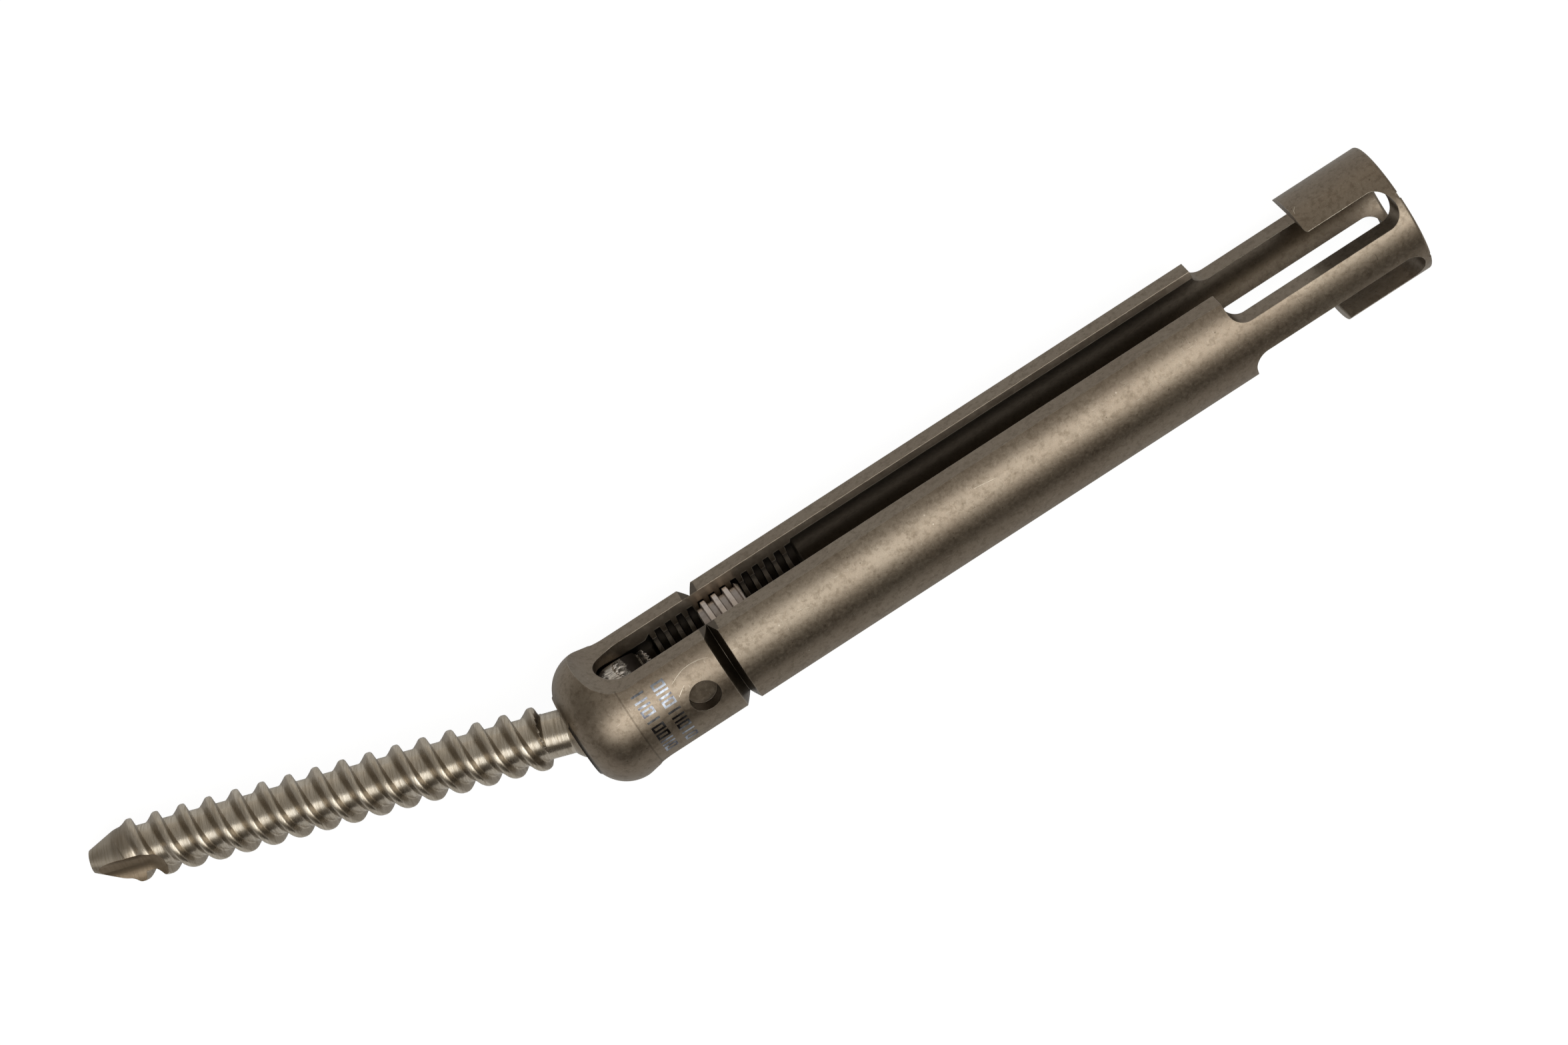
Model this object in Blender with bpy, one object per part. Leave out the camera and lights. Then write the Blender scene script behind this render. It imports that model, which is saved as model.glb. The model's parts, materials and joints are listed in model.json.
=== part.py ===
# Polyaxial pedicle screw with long break-off tabs, lying at rest on a flat surface.
# The head's own frame has X along its axis towards the top ring, Y through the rod slot
# and Z through the two tabs. The shank's own frame has X along its axis towards its ball.
# Both frames start at the centre of the ball, which is also the centre of the joint.
import bmesh
import bpy
from math import asin, atan2, ceil, cos, hypot, pi, radians, sin, sqrt
from mathutils import Matrix, Vector

# Sizes are written in millimetres and turned into metres by this factor.
MM = 0.001

# Clearances
SEAT_GAP = 0.3
THREAD_GAP = 0.3

# Bone thread and shank
BONE_THREAD_RADIUS = 3.25
CORE_RADIUS = 2.38
NECK_RADIUS = 2.33
BALL_RADIUS = 3.5
SHANK_REACH = 53.0
RIDGE_SPACING = 2.82
THREAD_STARTS = 2
THREAD_NECK_END = 5.05
THREAD_NECK_SLOPE = 2.3
THREAD_SHIFT = -0.40
TIP_RADIUS = 1.20
TIP_CONE_LENGTH = 4.4
TIP_THREAD_START = 2.6
TIP_THREAD_RISE = 2.4
BALL_FLAT_HEIGHT = 2.4
BALL_SOCKET_ACROSS_FLATS = 3.5
BALL_SOCKET_DEPTH = 2.4
NECK_FILLET = 0.2

# Self-tapping flutes at the tip
FLUTE_COUNT = 2
FLUTE_LENGTH = 5.65
FLUTE_CUTTER_RADIUS = 2.4
FLUTE_FLOOR_RADIUS = 1.5
FLUTE_FIRST_ANGLE = -48.0

# Head
HEAD_RADIUS = 7.1
BULB_RADIUS = 7.2
BULB_ROUNDING = 4.16
UNDERSIDE = -2.28
UNDERSIDE_EDGE_HEIGHT = 0.33
UNDERSIDE_EDGE_WIDTH = 0.25
BULB_WIDEST = 1.7
BULB_TOP = 3.35
BULB_STEP_LENGTH = 0.12
RELIEF_START = -1.6
RELIEF_RADIUS = 4.15
THREAD_BORE_RADIUS = 4.75
TAB_BORE_RADIUS = 5.0
THREAD_BORE_START = 8.95
THREAD_BORE_END = 26.25
FLAT_HALF_WIDTH = 4.6
FLAT_START = 5.05
FLAT_RUNOUT_RADIUS = 4.5
SLOT_WIDTH = 6.5
SLOT_BOTTOM = 2.75
GROOVE_START = 13.8
GROOVE_VALLEY = 14.75
GROOVE_END = 15.45
GROOVE_RADIUS = 5.6
DIMPLE_HEIGHT = 10.9
DIMPLE_RADIUS = 1.65
DIMPLE_DEPTH = 1.7

# Tabs, strips, flags and ring
TAB_END = 74.15
STRIP_WIDTH = 3.94
WINDOW_CUTTER_RADIUS = 1.77
FLAG_START = 85.0
WINDOW_END = 93.9
RING_END = 94.7
RING_CHAMFER = 0.25
FLAG_CORNER_RADIUS = 0.35

# Saddle
SADDLE_RADIUS = 4.15
SADDLE_BOTTOM = 2.0
SADDLE_TOP = 7.65
SADDLE_HOLE_RADIUS = 2.2
TROUGH_RADIUS = 3.1
TROUGH_BOTTOM = 4.4
SADDLE_COLLAR_HEIGHT = 0.6
SADDLE_COLLAR_CUT = 0.35

# Set screw
SET_SCREW_PITCH = 1.29
SET_SCREW_START = 14.6
SET_SCREW_LENGTH = 4.8
SET_SCREW_THREAD_DEPTH = 0.5
SET_SCREW_SOCKET_ACROSS_FLATS = 4.0
SET_SCREW_SOCKET_DEPTH = 3.4

# Lie of the object: the head rolls about its axis, and the shank leans in its ball seat
HEAD_ROLL = 30.0
SHANK_SIDE_ANGLE = 17.4
TOUCH_FROM_TIP = 5.8

# Facets
HEAD_SEGMENTS = 72
DIMPLE_SEGMENTS = 32
FLUTE_SEGMENTS = 28
SHANK_SEGMENTS = 32
SADDLE_SEGMENTS = 48
SET_SCREW_SEGMENTS = 40
ARC_STEP = radians(12)
FILLET_STEP = radians(30)
SHARP_ANGLE = radians(32)

# Sizes that follow from the ones above
SLOT_HALF = SLOT_WIDTH / 2
STRIP_HALF = STRIP_WIDTH / 2
FLAG_INNER = STRIP_HALF + 2 * WINDOW_CUTTER_RADIUS
SEAT_RADIUS = BALL_RADIUS + SEAT_GAP
POCKET_RADIUS = SADDLE_RADIUS + SEAT_GAP
SET_SCREW_CREST = THREAD_BORE_RADIUS - THREAD_GAP
THREAD_DEPTH = BONE_THREAD_RADIUS - CORE_RADIUS
CUT_PAST = 2.0

# Metals: name, colour and roughness
HEAD_METAL = ("blasted_titanium", (0.40, 0.365, 0.33), 0.42)
SHANK_METAL = ("turned_titanium", (0.62, 0.585, 0.535), 0.22)
SADDLE_METAL = ("bare_titanium", (0.66, 0.63, 0.60), 0.28)
SET_SCREW_METAL = ("bare_titanium_plug", (0.66, 0.60, 0.57), 0.3)

# One bone-thread ridge, as shares of the ridge spacing and of the thread depth.
# The flank towards the tip leans, and the flank towards the head stands steep.
BONE_RIDGE = ((0.0, 0.0), (0.36, 0.0), (0.69, 0.93), (0.75, 1.0), (0.87, 1.0), (0.92, 0.88))

# One set-screw ridge, square with slightly leaning flanks
SET_SCREW_RIDGE = ((0.0, 0.0), (0.42, 0.0), (0.54, 1.0), (0.92, 1.0))


def remove_everything():
    for old in list(bpy.data.objects):
        bpy.data.objects.remove(old, do_unlink=True)


def metal(name, colour, roughness):
    material = bpy.data.materials.new(name)
    material.use_nodes = True
    shader = material.node_tree.nodes["Principled BSDF"]
    shader.inputs["Base Color"].default_value = (*colour, 1.0)
    shader.inputs["Metallic"].default_value = 1.0
    shader.inputs["Roughness"].default_value = roughness
    return material


def add_object(name, mesh, parent, material=None):
    thing = bpy.data.objects.new(name, mesh)
    bpy.context.scene.collection.objects.link(thing)
    thing.parent = parent
    if material:
        mesh.materials.append(material)
    return thing


def mesh_from_bmesh(name, shape):
    bmesh.ops.remove_doubles(shape, verts=shape.verts, dist=1e-7)
    bmesh.ops.recalc_face_normals(shape, faces=shape.faces)
    mesh = bpy.data.meshes.new(name)
    shape.to_mesh(mesh)
    shape.free()
    return mesh


def shade(thing):
    thing.data.shade_smooth()
    thing.data.set_sharp_from_angle(angle=SHARP_ANGLE)


def arc(centre, radius, start, end, step=ARC_STEP):
    """Points of an arc in a plane, from one angle to another, both ends included."""
    count = max(1, ceil(abs(end - start) / step - 1e-9))
    angles = [start + (end - start) * i / count for i in range(count + 1)]
    return [(centre[0] + radius * cos(a), centre[1] + radius * sin(a)) for a in angles]


def turned_ring(name, profile, segments):
    """Turns a closed profile of (x, radius) points about X."""
    shape = bmesh.new()
    rows = []
    for x, radius in profile:
        row = []
        for i in range(segments):
            angle = 2 * pi * i / segments
            row.append(shape.verts.new(Vector((x, radius * cos(angle), radius * sin(angle))) * MM))
        rows.append(row)
    for first, second in zip(rows, rows[1:] + rows[:1]):
        for i in range(segments):
            j = (i + 1) % segments
            shape.faces.new((first[i], first[j], second[j], second[i]))
    return mesh_from_bmesh(name, shape)


def extruded_solid(name, outline, plane, low, high):
    """Extrudes a closed outline along Y or Z; the outline's first value is X."""
    shape = bmesh.new()
    ends = []
    for depth in (low, high):
        if plane == "xz":
            points = [Vector((x, depth, w)) for x, w in outline]
        else:
            points = [Vector((x, w, depth)) for x, w in outline]
        ends.append([shape.verts.new(point * MM) for point in points])
    count = len(outline)
    for i in range(count):
        j = (i + 1) % count
        shape.faces.new((ends[0][i], ends[0][j], ends[1][j], ends[1][i]))
    shape.faces.new(ends[0])
    shape.faces.new(ends[1])
    return mesh_from_bmesh(name, shape)


def cylinder_between(name, start, end, radius, segments):
    """A plain cylinder from one point to another."""
    start, end = Vector(start), Vector(end)
    shape = bmesh.new()
    turn = (end - start).to_track_quat("Z", "Y").to_matrix().to_4x4()
    place = Matrix.Translation((start + end) / 2 * MM) @ turn
    bmesh.ops.create_cone(shape, cap_ends=True, segments=segments, radius1=radius * MM,
                          radius2=radius * MM, depth=(end - start).length * MM, matrix=place)
    return mesh_from_bmesh(name, shape)


def round_ended_rod(name, start, end, radius):
    """A rod along X with a half ball at its far end, as a ball-nosed cutter leaves."""
    profile = [(start.x, 0.0), (start.x, radius)] + arc((end.x, 0.0), radius, pi / 2, 0.0)
    shape = bmesh.new()
    grid = []
    for i in range(FLUTE_SEGMENTS):
        angle = 2 * pi * i / FLUTE_SEGMENTS
        grid.append([
            shape.verts.new(Vector((x, start.y + r * cos(angle), start.z + r * sin(angle))) * MM)
            for x, r in profile
        ])
    for i in range(FLUTE_SEGMENTS):
        following = grid[(i + 1) % FLUTE_SEGMENTS]
        for j in range(len(profile) - 1):
            shape.faces.new((grid[i][j], following[j], following[j + 1], grid[i][j + 1]))
    return mesh_from_bmesh(name, shape)


def polygon_prism(name, across_flats, sides, low, high):
    """A regular prism along X, for a drive socket."""
    radius = across_flats / 2 / cos(pi / sides)
    shape = bmesh.new()
    rows = []
    for x in (low, high):
        angles = [2 * pi * i / sides for i in range(sides)]
        rows.append([shape.verts.new(Vector((x, radius * cos(a), radius * sin(a))) * MM) for a in angles])
    for i in range(sides):
        j = (i + 1) % sides
        shape.faces.new((rows[0][i], rows[0][j], rows[1][j], rows[1][i]))
    shape.faces.new(rows[0])
    shape.faces.new(rows[1])
    return mesh_from_bmesh(name, shape)


def cut(target, name, cutter_mesh):
    """Cuts a hidden cutter out of the target, in the target's own frame."""
    cutter = add_object(name, cutter_mesh, target.parent)
    cutter.hide_render = True
    cutter.display_type = "WIRE"
    boolean = target.modifiers.new(name, "BOOLEAN")
    boolean.operation = "DIFFERENCE"
    boolean.solver = "EXACT"
    boolean.object = cutter
    return cutter


def head_profile():
    """Outside from the underside to the ring, then back down the bore to the ball seat."""
    bulb_centre = (BULB_WIDEST, BULB_RADIUS - BULB_ROUNDING)
    edge_x = UNDERSIDE + UNDERSIDE_EDGE_HEIGHT
    edge_angle = pi - asin(sqrt(1 - ((BULB_WIDEST - edge_x) / BULB_ROUNDING) ** 2))
    bulb = arc(bulb_centre, BULB_ROUNDING, edge_angle, pi / 2)
    underside = [(UNDERSIDE, RELIEF_RADIUS), (UNDERSIDE, bulb[0][1] - UNDERSIDE_EDGE_WIDTH)]
    body = [
        (BULB_TOP, BULB_RADIUS),
        (BULB_TOP + BULB_STEP_LENGTH, HEAD_RADIUS),
        (GROOVE_START, HEAD_RADIUS),
        (GROOVE_VALLEY, GROOVE_RADIUS),
        (GROOVE_END, HEAD_RADIUS),
    ]
    ring = [
        (RING_END - RING_CHAMFER, HEAD_RADIUS),
        (RING_END, HEAD_RADIUS - RING_CHAMFER),
        (RING_END, TAB_BORE_RADIUS + RING_CHAMFER),
        (RING_END - RING_CHAMFER, TAB_BORE_RADIUS),
    ]
    bore = [
        (THREAD_BORE_END, TAB_BORE_RADIUS),
        (THREAD_BORE_END, THREAD_BORE_RADIUS),
        (THREAD_BORE_START, THREAD_BORE_RADIUS),
        (THREAD_BORE_START, POCKET_RADIUS),
        (sqrt(max(0.0, POCKET_RADIUS ** 2 - SEAT_RADIUS ** 2)), POCKET_RADIUS),
    ]
    relief_angle = atan2(sqrt(SEAT_RADIUS ** 2 - RELIEF_START ** 2), RELIEF_START)
    seat = arc((0.0, 0.0), SEAT_RADIUS, pi / 2, relief_angle)
    return underside + bulb + body + ring + bore + seat


def side_outline():
    """What a side mill takes off one side of the head, as (x, y) points.

    It runs out into the bulb, leaves the tab's flat, drops to the strip's side at the
    tab's end, turns round the window's end and comes back under the flag."""
    past = HEAD_RADIUS + CUT_PAST
    depth_of_runout = BULB_RADIUS + SEAT_GAP - FLAT_HALF_WIDTH
    sweep = pi / 2 + asin(1 - depth_of_runout / FLAT_RUNOUT_RADIUS)
    runout = arc((FLAT_START, FLAT_HALF_WIDTH + FLAT_RUNOUT_RADIUS), FLAT_RUNOUT_RADIUS,
                 -pi / 2 - (pi - sweep), -pi / 2)
    radius = WINDOW_CUTTER_RADIUS
    tab_corner = arc((TAB_END + radius, STRIP_HALF + radius), radius, pi, 3 * pi / 2)
    window_end = arc((WINDOW_END - radius, STRIP_HALF + radius), radius, -pi / 2, pi / 2)
    outline = [(runout[0][0], past)] + runout + [(TAB_END, FLAT_HALF_WIDTH)]
    outline += tab_corner + window_end
    rounding = FLAG_CORNER_RADIUS
    outline += arc((FLAG_START + rounding, FLAG_INNER + rounding), rounding, -pi / 2, -pi, FILLET_STEP)
    outline += [(FLAG_START, past)]
    return outline


def slot_outline():
    """The rod slot, round at its bottom, as (x, z) points."""
    end = (TAB_END + FLAG_START) / 2
    bottom = arc((SLOT_BOTTOM + SLOT_HALF, 0.0), SLOT_HALF, pi / 2, 3 * pi / 2)
    return [(end, SLOT_HALF)] + bottom + [(end, -SLOT_HALF)]


def build_head(parent):
    mesh = turned_ring("head", head_profile(), HEAD_SEGMENTS)
    head = add_object("head", mesh, parent, metal(*HEAD_METAL))
    past = HEAD_RADIUS + CUT_PAST
    outline = side_outline()
    mirrored = [(x, -y) for x, y in outline]
    cut(head, "cut_side_left", extruded_solid("cut_side_left", outline, "xy", -past, past))
    cut(head, "cut_side_right", extruded_solid("cut_side_right", mirrored, "xy", -past, past))
    cut(head, "cut_rod_slot", extruded_solid("cut_rod_slot", slot_outline(), "xz", -past, past))
    for side, label in ((1, "near"), (-1, "far")):
        start = (DIMPLE_HEIGHT, 0.0, side * (HEAD_RADIUS - DIMPLE_DEPTH))
        end = (DIMPLE_HEIGHT, 0.0, side * past)
        name = "cut_dimple_" + label
        cut(head, name, cylinder_between(name, start, end, DIMPLE_RADIUS, DIMPLE_SEGMENTS))
    shade(head)
    return head


def ridge_radius(x, share):
    """Radius of the bone thread at x, with the share of its depth that the ridge has there.

    The tip's cone trims the thread, whose grooves deepen from the cone's own surface.
    A steep chamfer ends the thread at the neck."""
    from_tip = x + SHANK_REACH
    cone = TIP_RADIUS + (BONE_THREAD_RADIUS - TIP_RADIUS) * from_tip / TIP_CONE_LENGTH
    blank = min(BONE_THREAD_RADIUS, cone)
    full = min(blank, CORE_RADIUS + THREAD_DEPTH * share)
    cut_share = min(1.0, max(0.0, (from_tip - TIP_THREAD_START) / TIP_THREAD_RISE))
    neck_limit = NECK_RADIUS + THREAD_NECK_SLOPE * max(0.0, -THREAD_NECK_END - x)
    return min(blank + (full - blank) * cut_share, neck_limit)


def helical_rows(low, high, first, spacing, starts, ridge, segments, radius_at):
    """Columns of (x, radius) points round a thread, each column a little further along.

    The first ridge starts at first. Points past either end stay on the end's circle,
    where they merge into one."""
    ridges = ceil((high - low) / spacing) + starts + 1
    columns = []
    for i in range(segments + 1):
        shift = spacing * starts * i / segments
        column = []
        for k in range(-starts, ridges):
            for place, share in ridge:
                x = min(high, max(low, first + shift + spacing * (k + place)))
                column.append((x, radius_at(x, share)))
        columns.append(column)
    return columns


def threaded_solid(name, columns, segments, high_profile):
    """Skins the thread's columns, goes on with a turned end, and closes both sides."""
    shape = bmesh.new()
    grid = []
    for i, column in enumerate(columns):
        angle = 2 * pi * i / segments
        grid.append([
            shape.verts.new(Vector((x, r * cos(angle), r * sin(angle))) * MM)
            for x, r in column + high_profile
        ])
    for i in range(segments):
        for j in range(len(grid[0]) - 1):
            shape.faces.new((grid[i][j], grid[i + 1][j], grid[i + 1][j + 1], grid[i][j + 1]))
    bmesh.ops.remove_doubles(shape, verts=shape.verts, dist=1e-7)
    open_edges = [edge for edge in shape.edges if edge.is_boundary]
    bmesh.ops.holes_fill(shape, edges=open_edges, sides=0)
    return mesh_from_bmesh(name, shape)


def ball_profile():
    """From the neck round the ball to its flat top, with a fillet where neck meets ball."""
    meet = sqrt((BALL_RADIUS + NECK_FILLET) ** 2 - (NECK_RADIUS + NECK_FILLET) ** 2)
    fillet_centre = (-meet, NECK_RADIUS + NECK_FILLET)
    ball_angle = atan2(fillet_centre[1], fillet_centre[0])
    fillet = arc(fillet_centre, NECK_FILLET, -pi / 2, ball_angle - pi, FILLET_STEP)
    top_angle = atan2(sqrt(BALL_RADIUS ** 2 - BALL_FLAT_HEIGHT ** 2), BALL_FLAT_HEIGHT)
    return fillet + arc((0.0, 0.0), BALL_RADIUS, ball_angle, top_angle)[1:]


def cut_flutes(shank):
    """Straight flutes along the axis, which miss the narrow tip and end where the cutter lifts."""
    tip = -SHANK_REACH
    for i in range(FLUTE_COUNT):
        angle = radians(FLUTE_FIRST_ANGLE + 360 * i / FLUTE_COUNT)
        outward = Vector((0.0, sin(angle), cos(angle))) * (FLUTE_FLOOR_RADIUS + FLUTE_CUTTER_RADIUS)
        start = outward + Vector((tip - CUT_PAST, 0.0, 0.0))
        end = outward + Vector((tip + FLUTE_LENGTH, 0.0, 0.0))
        name = "cut_flute_%d" % (i + 1)
        cut(shank, name, round_ended_rod(name, start, end, FLUTE_CUTTER_RADIUS))


def build_shank(parent):
    low, high = -SHANK_REACH, -THREAD_NECK_END
    columns = helical_rows(low, high, low + THREAD_SHIFT, RIDGE_SPACING, THREAD_STARTS, BONE_RIDGE,
                           SHANK_SEGMENTS, ridge_radius)
    mesh = threaded_solid("shank", columns, SHANK_SEGMENTS, ball_profile())
    shank = add_object("shank", mesh, parent, metal(*SHANK_METAL))
    cut_flutes(shank)
    socket = polygon_prism("cut_ball_socket", BALL_SOCKET_ACROSS_FLATS, 6,
                           BALL_FLAT_HEIGHT - BALL_SOCKET_DEPTH, BALL_FLAT_HEIGHT + CUT_PAST)
    cut(shank, "cut_ball_socket", socket)
    shade(shank)
    return shank


def build_saddle(parent):
    """A ring with a cup for the ball below and a trough for the rod above."""
    cup_low = atan2(sqrt(SEAT_RADIUS ** 2 - SADDLE_BOTTOM ** 2), SADDLE_BOTTOM)
    cup_high = asin(SADDLE_HOLE_RADIUS / SEAT_RADIUS)
    collar = SADDLE_TOP - SADDLE_COLLAR_HEIGHT
    profile = arc((0.0, 0.0), SEAT_RADIUS, cup_high, cup_low)
    profile += [
        (SADDLE_BOTTOM, SADDLE_RADIUS),
        (collar - SADDLE_COLLAR_CUT, SADDLE_RADIUS),
        (collar, SADDLE_RADIUS - SADDLE_COLLAR_CUT),
        (SADDLE_TOP, SADDLE_RADIUS - SADDLE_COLLAR_CUT),
        (SADDLE_TOP, SADDLE_HOLE_RADIUS),
    ]
    mesh = turned_ring("saddle", profile, SADDLE_SEGMENTS)
    saddle = add_object("saddle", mesh, parent, metal(*SADDLE_METAL))
    past = SADDLE_RADIUS + CUT_PAST
    centre = TROUGH_BOTTOM + TROUGH_RADIUS
    bottom = arc((centre, 0.0), TROUGH_RADIUS, pi / 2, 3 * pi / 2)
    top = SADDLE_TOP + CUT_PAST
    outline = [(top, TROUGH_RADIUS)] + bottom + [(top, -TROUGH_RADIUS)]
    cut(saddle, "cut_trough", extruded_solid("cut_trough", outline, "xz", -past, past))
    shade(saddle)
    return saddle


def set_screw_radius(x, share):
    """Radius of the set screw's thread, chamfered at both ends."""
    root = SET_SCREW_CREST - SET_SCREW_THREAD_DEPTH
    from_end = min(x - SET_SCREW_START, SET_SCREW_START + SET_SCREW_LENGTH - x)
    return min(root + SET_SCREW_THREAD_DEPTH * share, root + max(0.0, from_end))


def build_set_screw(parent):
    low, high = SET_SCREW_START, SET_SCREW_START + SET_SCREW_LENGTH
    columns = helical_rows(low, high, low, SET_SCREW_PITCH, 1, SET_SCREW_RIDGE, SET_SCREW_SEGMENTS,
                           set_screw_radius)
    mesh = threaded_solid("set_screw", columns, SET_SCREW_SEGMENTS, [])
    set_screw = add_object("set_screw", mesh, parent, metal(*SET_SCREW_METAL))
    socket = polygon_prism("cut_set_screw_socket", SET_SCREW_SOCKET_ACROSS_FLATS, 6,
                           high - SET_SCREW_SOCKET_DEPTH, high + CUT_PAST)
    cut(set_screw, "cut_set_screw_socket", socket)
    shade(set_screw)
    return set_screw


def lowest_corner_and_centre(things):
    """The lowest height and the middle of the box round the evaluated objects."""
    bpy.context.view_layer.update()
    graph = bpy.context.evaluated_depsgraph_get()
    points = []
    for thing in things:
        seen = thing.evaluated_get(graph)
        points += [seen.matrix_world @ vertex.co for vertex in seen.data.vertices]
    lows = [min(point[k] for point in points) for k in range(3)]
    highs = [max(point[k] for point in points) for k in range(3)]
    return Vector(((lows[0] + highs[0]) / 2, (lows[1] + highs[1]) / 2, lows[2]))


def shank_direction():
    """The shank's X axis, seen in the world: its thread touches the surface near the tip."""
    touch = SHANK_REACH - TOUCH_FROM_TIP
    droop = asin(BULB_RADIUS / hypot(touch, BONE_THREAD_RADIUS)) - atan2(BONE_THREAD_RADIUS, touch)
    side = radians(SHANK_SIDE_ANGLE)
    return Vector((cos(droop) * cos(side), -cos(droop) * sin(side), sin(droop)))


def main():
    remove_everything()
    lie = bpy.data.objects.new("lie", None)
    head_frame = bpy.data.objects.new("head_frame", None)
    shank_frame = bpy.data.objects.new("shank_frame", None)
    for empty in (lie, head_frame, shank_frame):
        bpy.context.scene.collection.objects.link(empty)
    head_frame.parent = lie
    shank_frame.parent = lie
    head_frame.rotation_euler = (radians(HEAD_ROLL), 0.0, 0.0)
    shank_frame.rotation_euler = shank_direction().to_track_quat("X", "Z").to_euler()
    things = [
        build_head(head_frame),
        build_saddle(head_frame),
        build_set_screw(head_frame),
        build_shank(shank_frame),
    ]
    lie.location = -lowest_corner_and_centre(things)


main()
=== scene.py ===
# Looks of the polyaxial pedicle screw with long break-off tabs.
# Every metal piece is built again at a fine facet size, in the place of its CAD node.
# Sizes are in millimetres in the head's or the shank's own frame, as in the part's source.
import json
import random
from math import asin, atan2, ceil, cos, hypot, pi, radians, sin, sqrt

import bmesh
import bpy
from mathutils import Matrix, Vector


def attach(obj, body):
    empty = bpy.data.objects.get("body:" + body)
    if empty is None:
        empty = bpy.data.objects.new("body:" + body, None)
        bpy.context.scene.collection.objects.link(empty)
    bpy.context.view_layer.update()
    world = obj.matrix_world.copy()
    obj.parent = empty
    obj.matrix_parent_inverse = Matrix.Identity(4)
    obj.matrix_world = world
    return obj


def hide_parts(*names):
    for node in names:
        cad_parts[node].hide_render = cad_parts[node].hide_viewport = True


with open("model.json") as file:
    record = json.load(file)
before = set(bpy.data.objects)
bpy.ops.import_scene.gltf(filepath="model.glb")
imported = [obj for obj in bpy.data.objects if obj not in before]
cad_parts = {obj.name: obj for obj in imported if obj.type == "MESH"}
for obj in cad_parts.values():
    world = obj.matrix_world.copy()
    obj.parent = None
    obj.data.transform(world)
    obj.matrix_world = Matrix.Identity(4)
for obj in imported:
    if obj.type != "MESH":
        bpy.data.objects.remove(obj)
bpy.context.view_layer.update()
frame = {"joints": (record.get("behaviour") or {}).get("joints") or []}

MM = 0.001

# Bone thread and shank
SEAT_GAP = 0.3
BONE_THREAD_RADIUS = 3.25
CORE_RADIUS = 2.38
NECK_RADIUS = 2.33
BALL_RADIUS = 3.5
SHANK_REACH = 53.0
RIDGE_SPACING = 2.82
THREAD_STARTS = 2
THREAD_NECK_END = 5.05
THREAD_NECK_SLOPE = 2.3
THREAD_SHIFT = -0.40
TIP_RADIUS = 1.20
TIP_CONE_LENGTH = 4.4
TIP_THREAD_START = 2.6
TIP_THREAD_RISE = 2.4
BALL_FLAT_HEIGHT = 2.4
BALL_SOCKET_ACROSS_FLATS = 3.5
BALL_SOCKET_DEPTH = 2.4
NECK_FILLET = 0.2
FLUTE_COUNT = 2
FLUTE_LENGTH = 5.65
FLUTE_CUTTER_RADIUS = 2.4
FLUTE_FLOOR_RADIUS = 1.5
FLUTE_FIRST_ANGLE = -48.0

# Head
HEAD_RADIUS = 7.1
BULB_RADIUS = 7.2
BULB_ROUNDING = 4.16
UNDERSIDE = -2.28
UNDERSIDE_EDGE_HEIGHT = 0.14
UNDERSIDE_EDGE_WIDTH = 0.11
BULB_WIDEST = 1.7
BULB_TOP = 3.35
BULB_STEP_LENGTH = 0.30
RELIEF_START = -1.6
RELIEF_RADIUS = 4.15
THREAD_BORE_RADIUS = 4.75
TAB_BORE_RADIUS = 5.0
THREAD_BORE_START = 8.95
THREAD_BORE_END = 26.25
FLAT_HALF_WIDTH = 4.6
FLAT_START = 5.05
FLAT_RUNOUT_RADIUS = 4.5
SLOT_WIDTH = 6.5
SLOT_BOTTOM = 2.75
GROOVE_START = 13.8
GROOVE_VALLEY = 14.75
GROOVE_END = 15.45
GROOVE_RADIUS = 5.6
DIMPLE_HEIGHT = 10.9
DIMPLE_RADIUS = 1.65
DIMPLE_DEPTH = 1.7
TAB_END = 74.15
STRIP_WIDTH = 3.94
WINDOW_CUTTER_RADIUS = 1.77
FLAG_START = 85.0
WINDOW_END = 93.9
RING_END = 94.7
RING_CHAMFER = 0.25
RING_ROUNDING = 1.3 * RING_CHAMFER
FLAG_CORNER_RADIUS = 0.35
NICK_RADIUS = 0.36
NICK_REACH_IN = 0.9
NICK_REACH_OUT = 1.0
NICK_ANGLES = (53.5, 119.0)

# Saddle
SADDLE_RADIUS = 4.15
SADDLE_BOTTOM = 2.0
SADDLE_TOP = 7.65
SADDLE_HOLE_RADIUS = 2.2
TROUGH_RADIUS = 3.1
TROUGH_BOTTOM = 4.4
SADDLE_COLLAR_HEIGHT = 0.6
SADDLE_COLLAR_CUT = 0.35

# Inner thread of the head and outer thread of the set screw
PLUG_PITCH = 1.29
INNER_THREAD_RADIUS = 4.2
PLUG_CREST_RADIUS = 4.45
PLUG_ROOT_RADIUS = 3.95
PLUG_START = 14.6
PLUG_LENGTH = 4.8
PLUG_SOCKET_ACROSS_FLATS = 4.0
PLUG_SOCKET_DEPTH = 3.4
TAP_INSET = 0.15

# Lie of the object
HEAD_ROLL = 30.0
SHANK_SIDE_ANGLE = 17.4
TOUCH_FROM_TIP = 5.8

# Facets of the fine meshes
HEAD_SEGMENTS = 216
SHANK_SEGMENTS = 96
SADDLE_SEGMENTS = 96
PLUG_SEGMENTS = 96
TAP_SEGMENTS = 96
FLUTE_SEGMENTS = 96
DIMPLE_SEGMENTS = 64
NICK_SEGMENTS = 10
ARC_STEP = radians(4)
RING_ARC_STEP = radians(15)
ARC_STEP_SLACK = 1e-9
MERGE_DISTANCE = 1e-7
SHARP_ANGLE = 30
SHANK_SHARP_ANGLE = 35
CUT_PAST = 2.0

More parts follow.
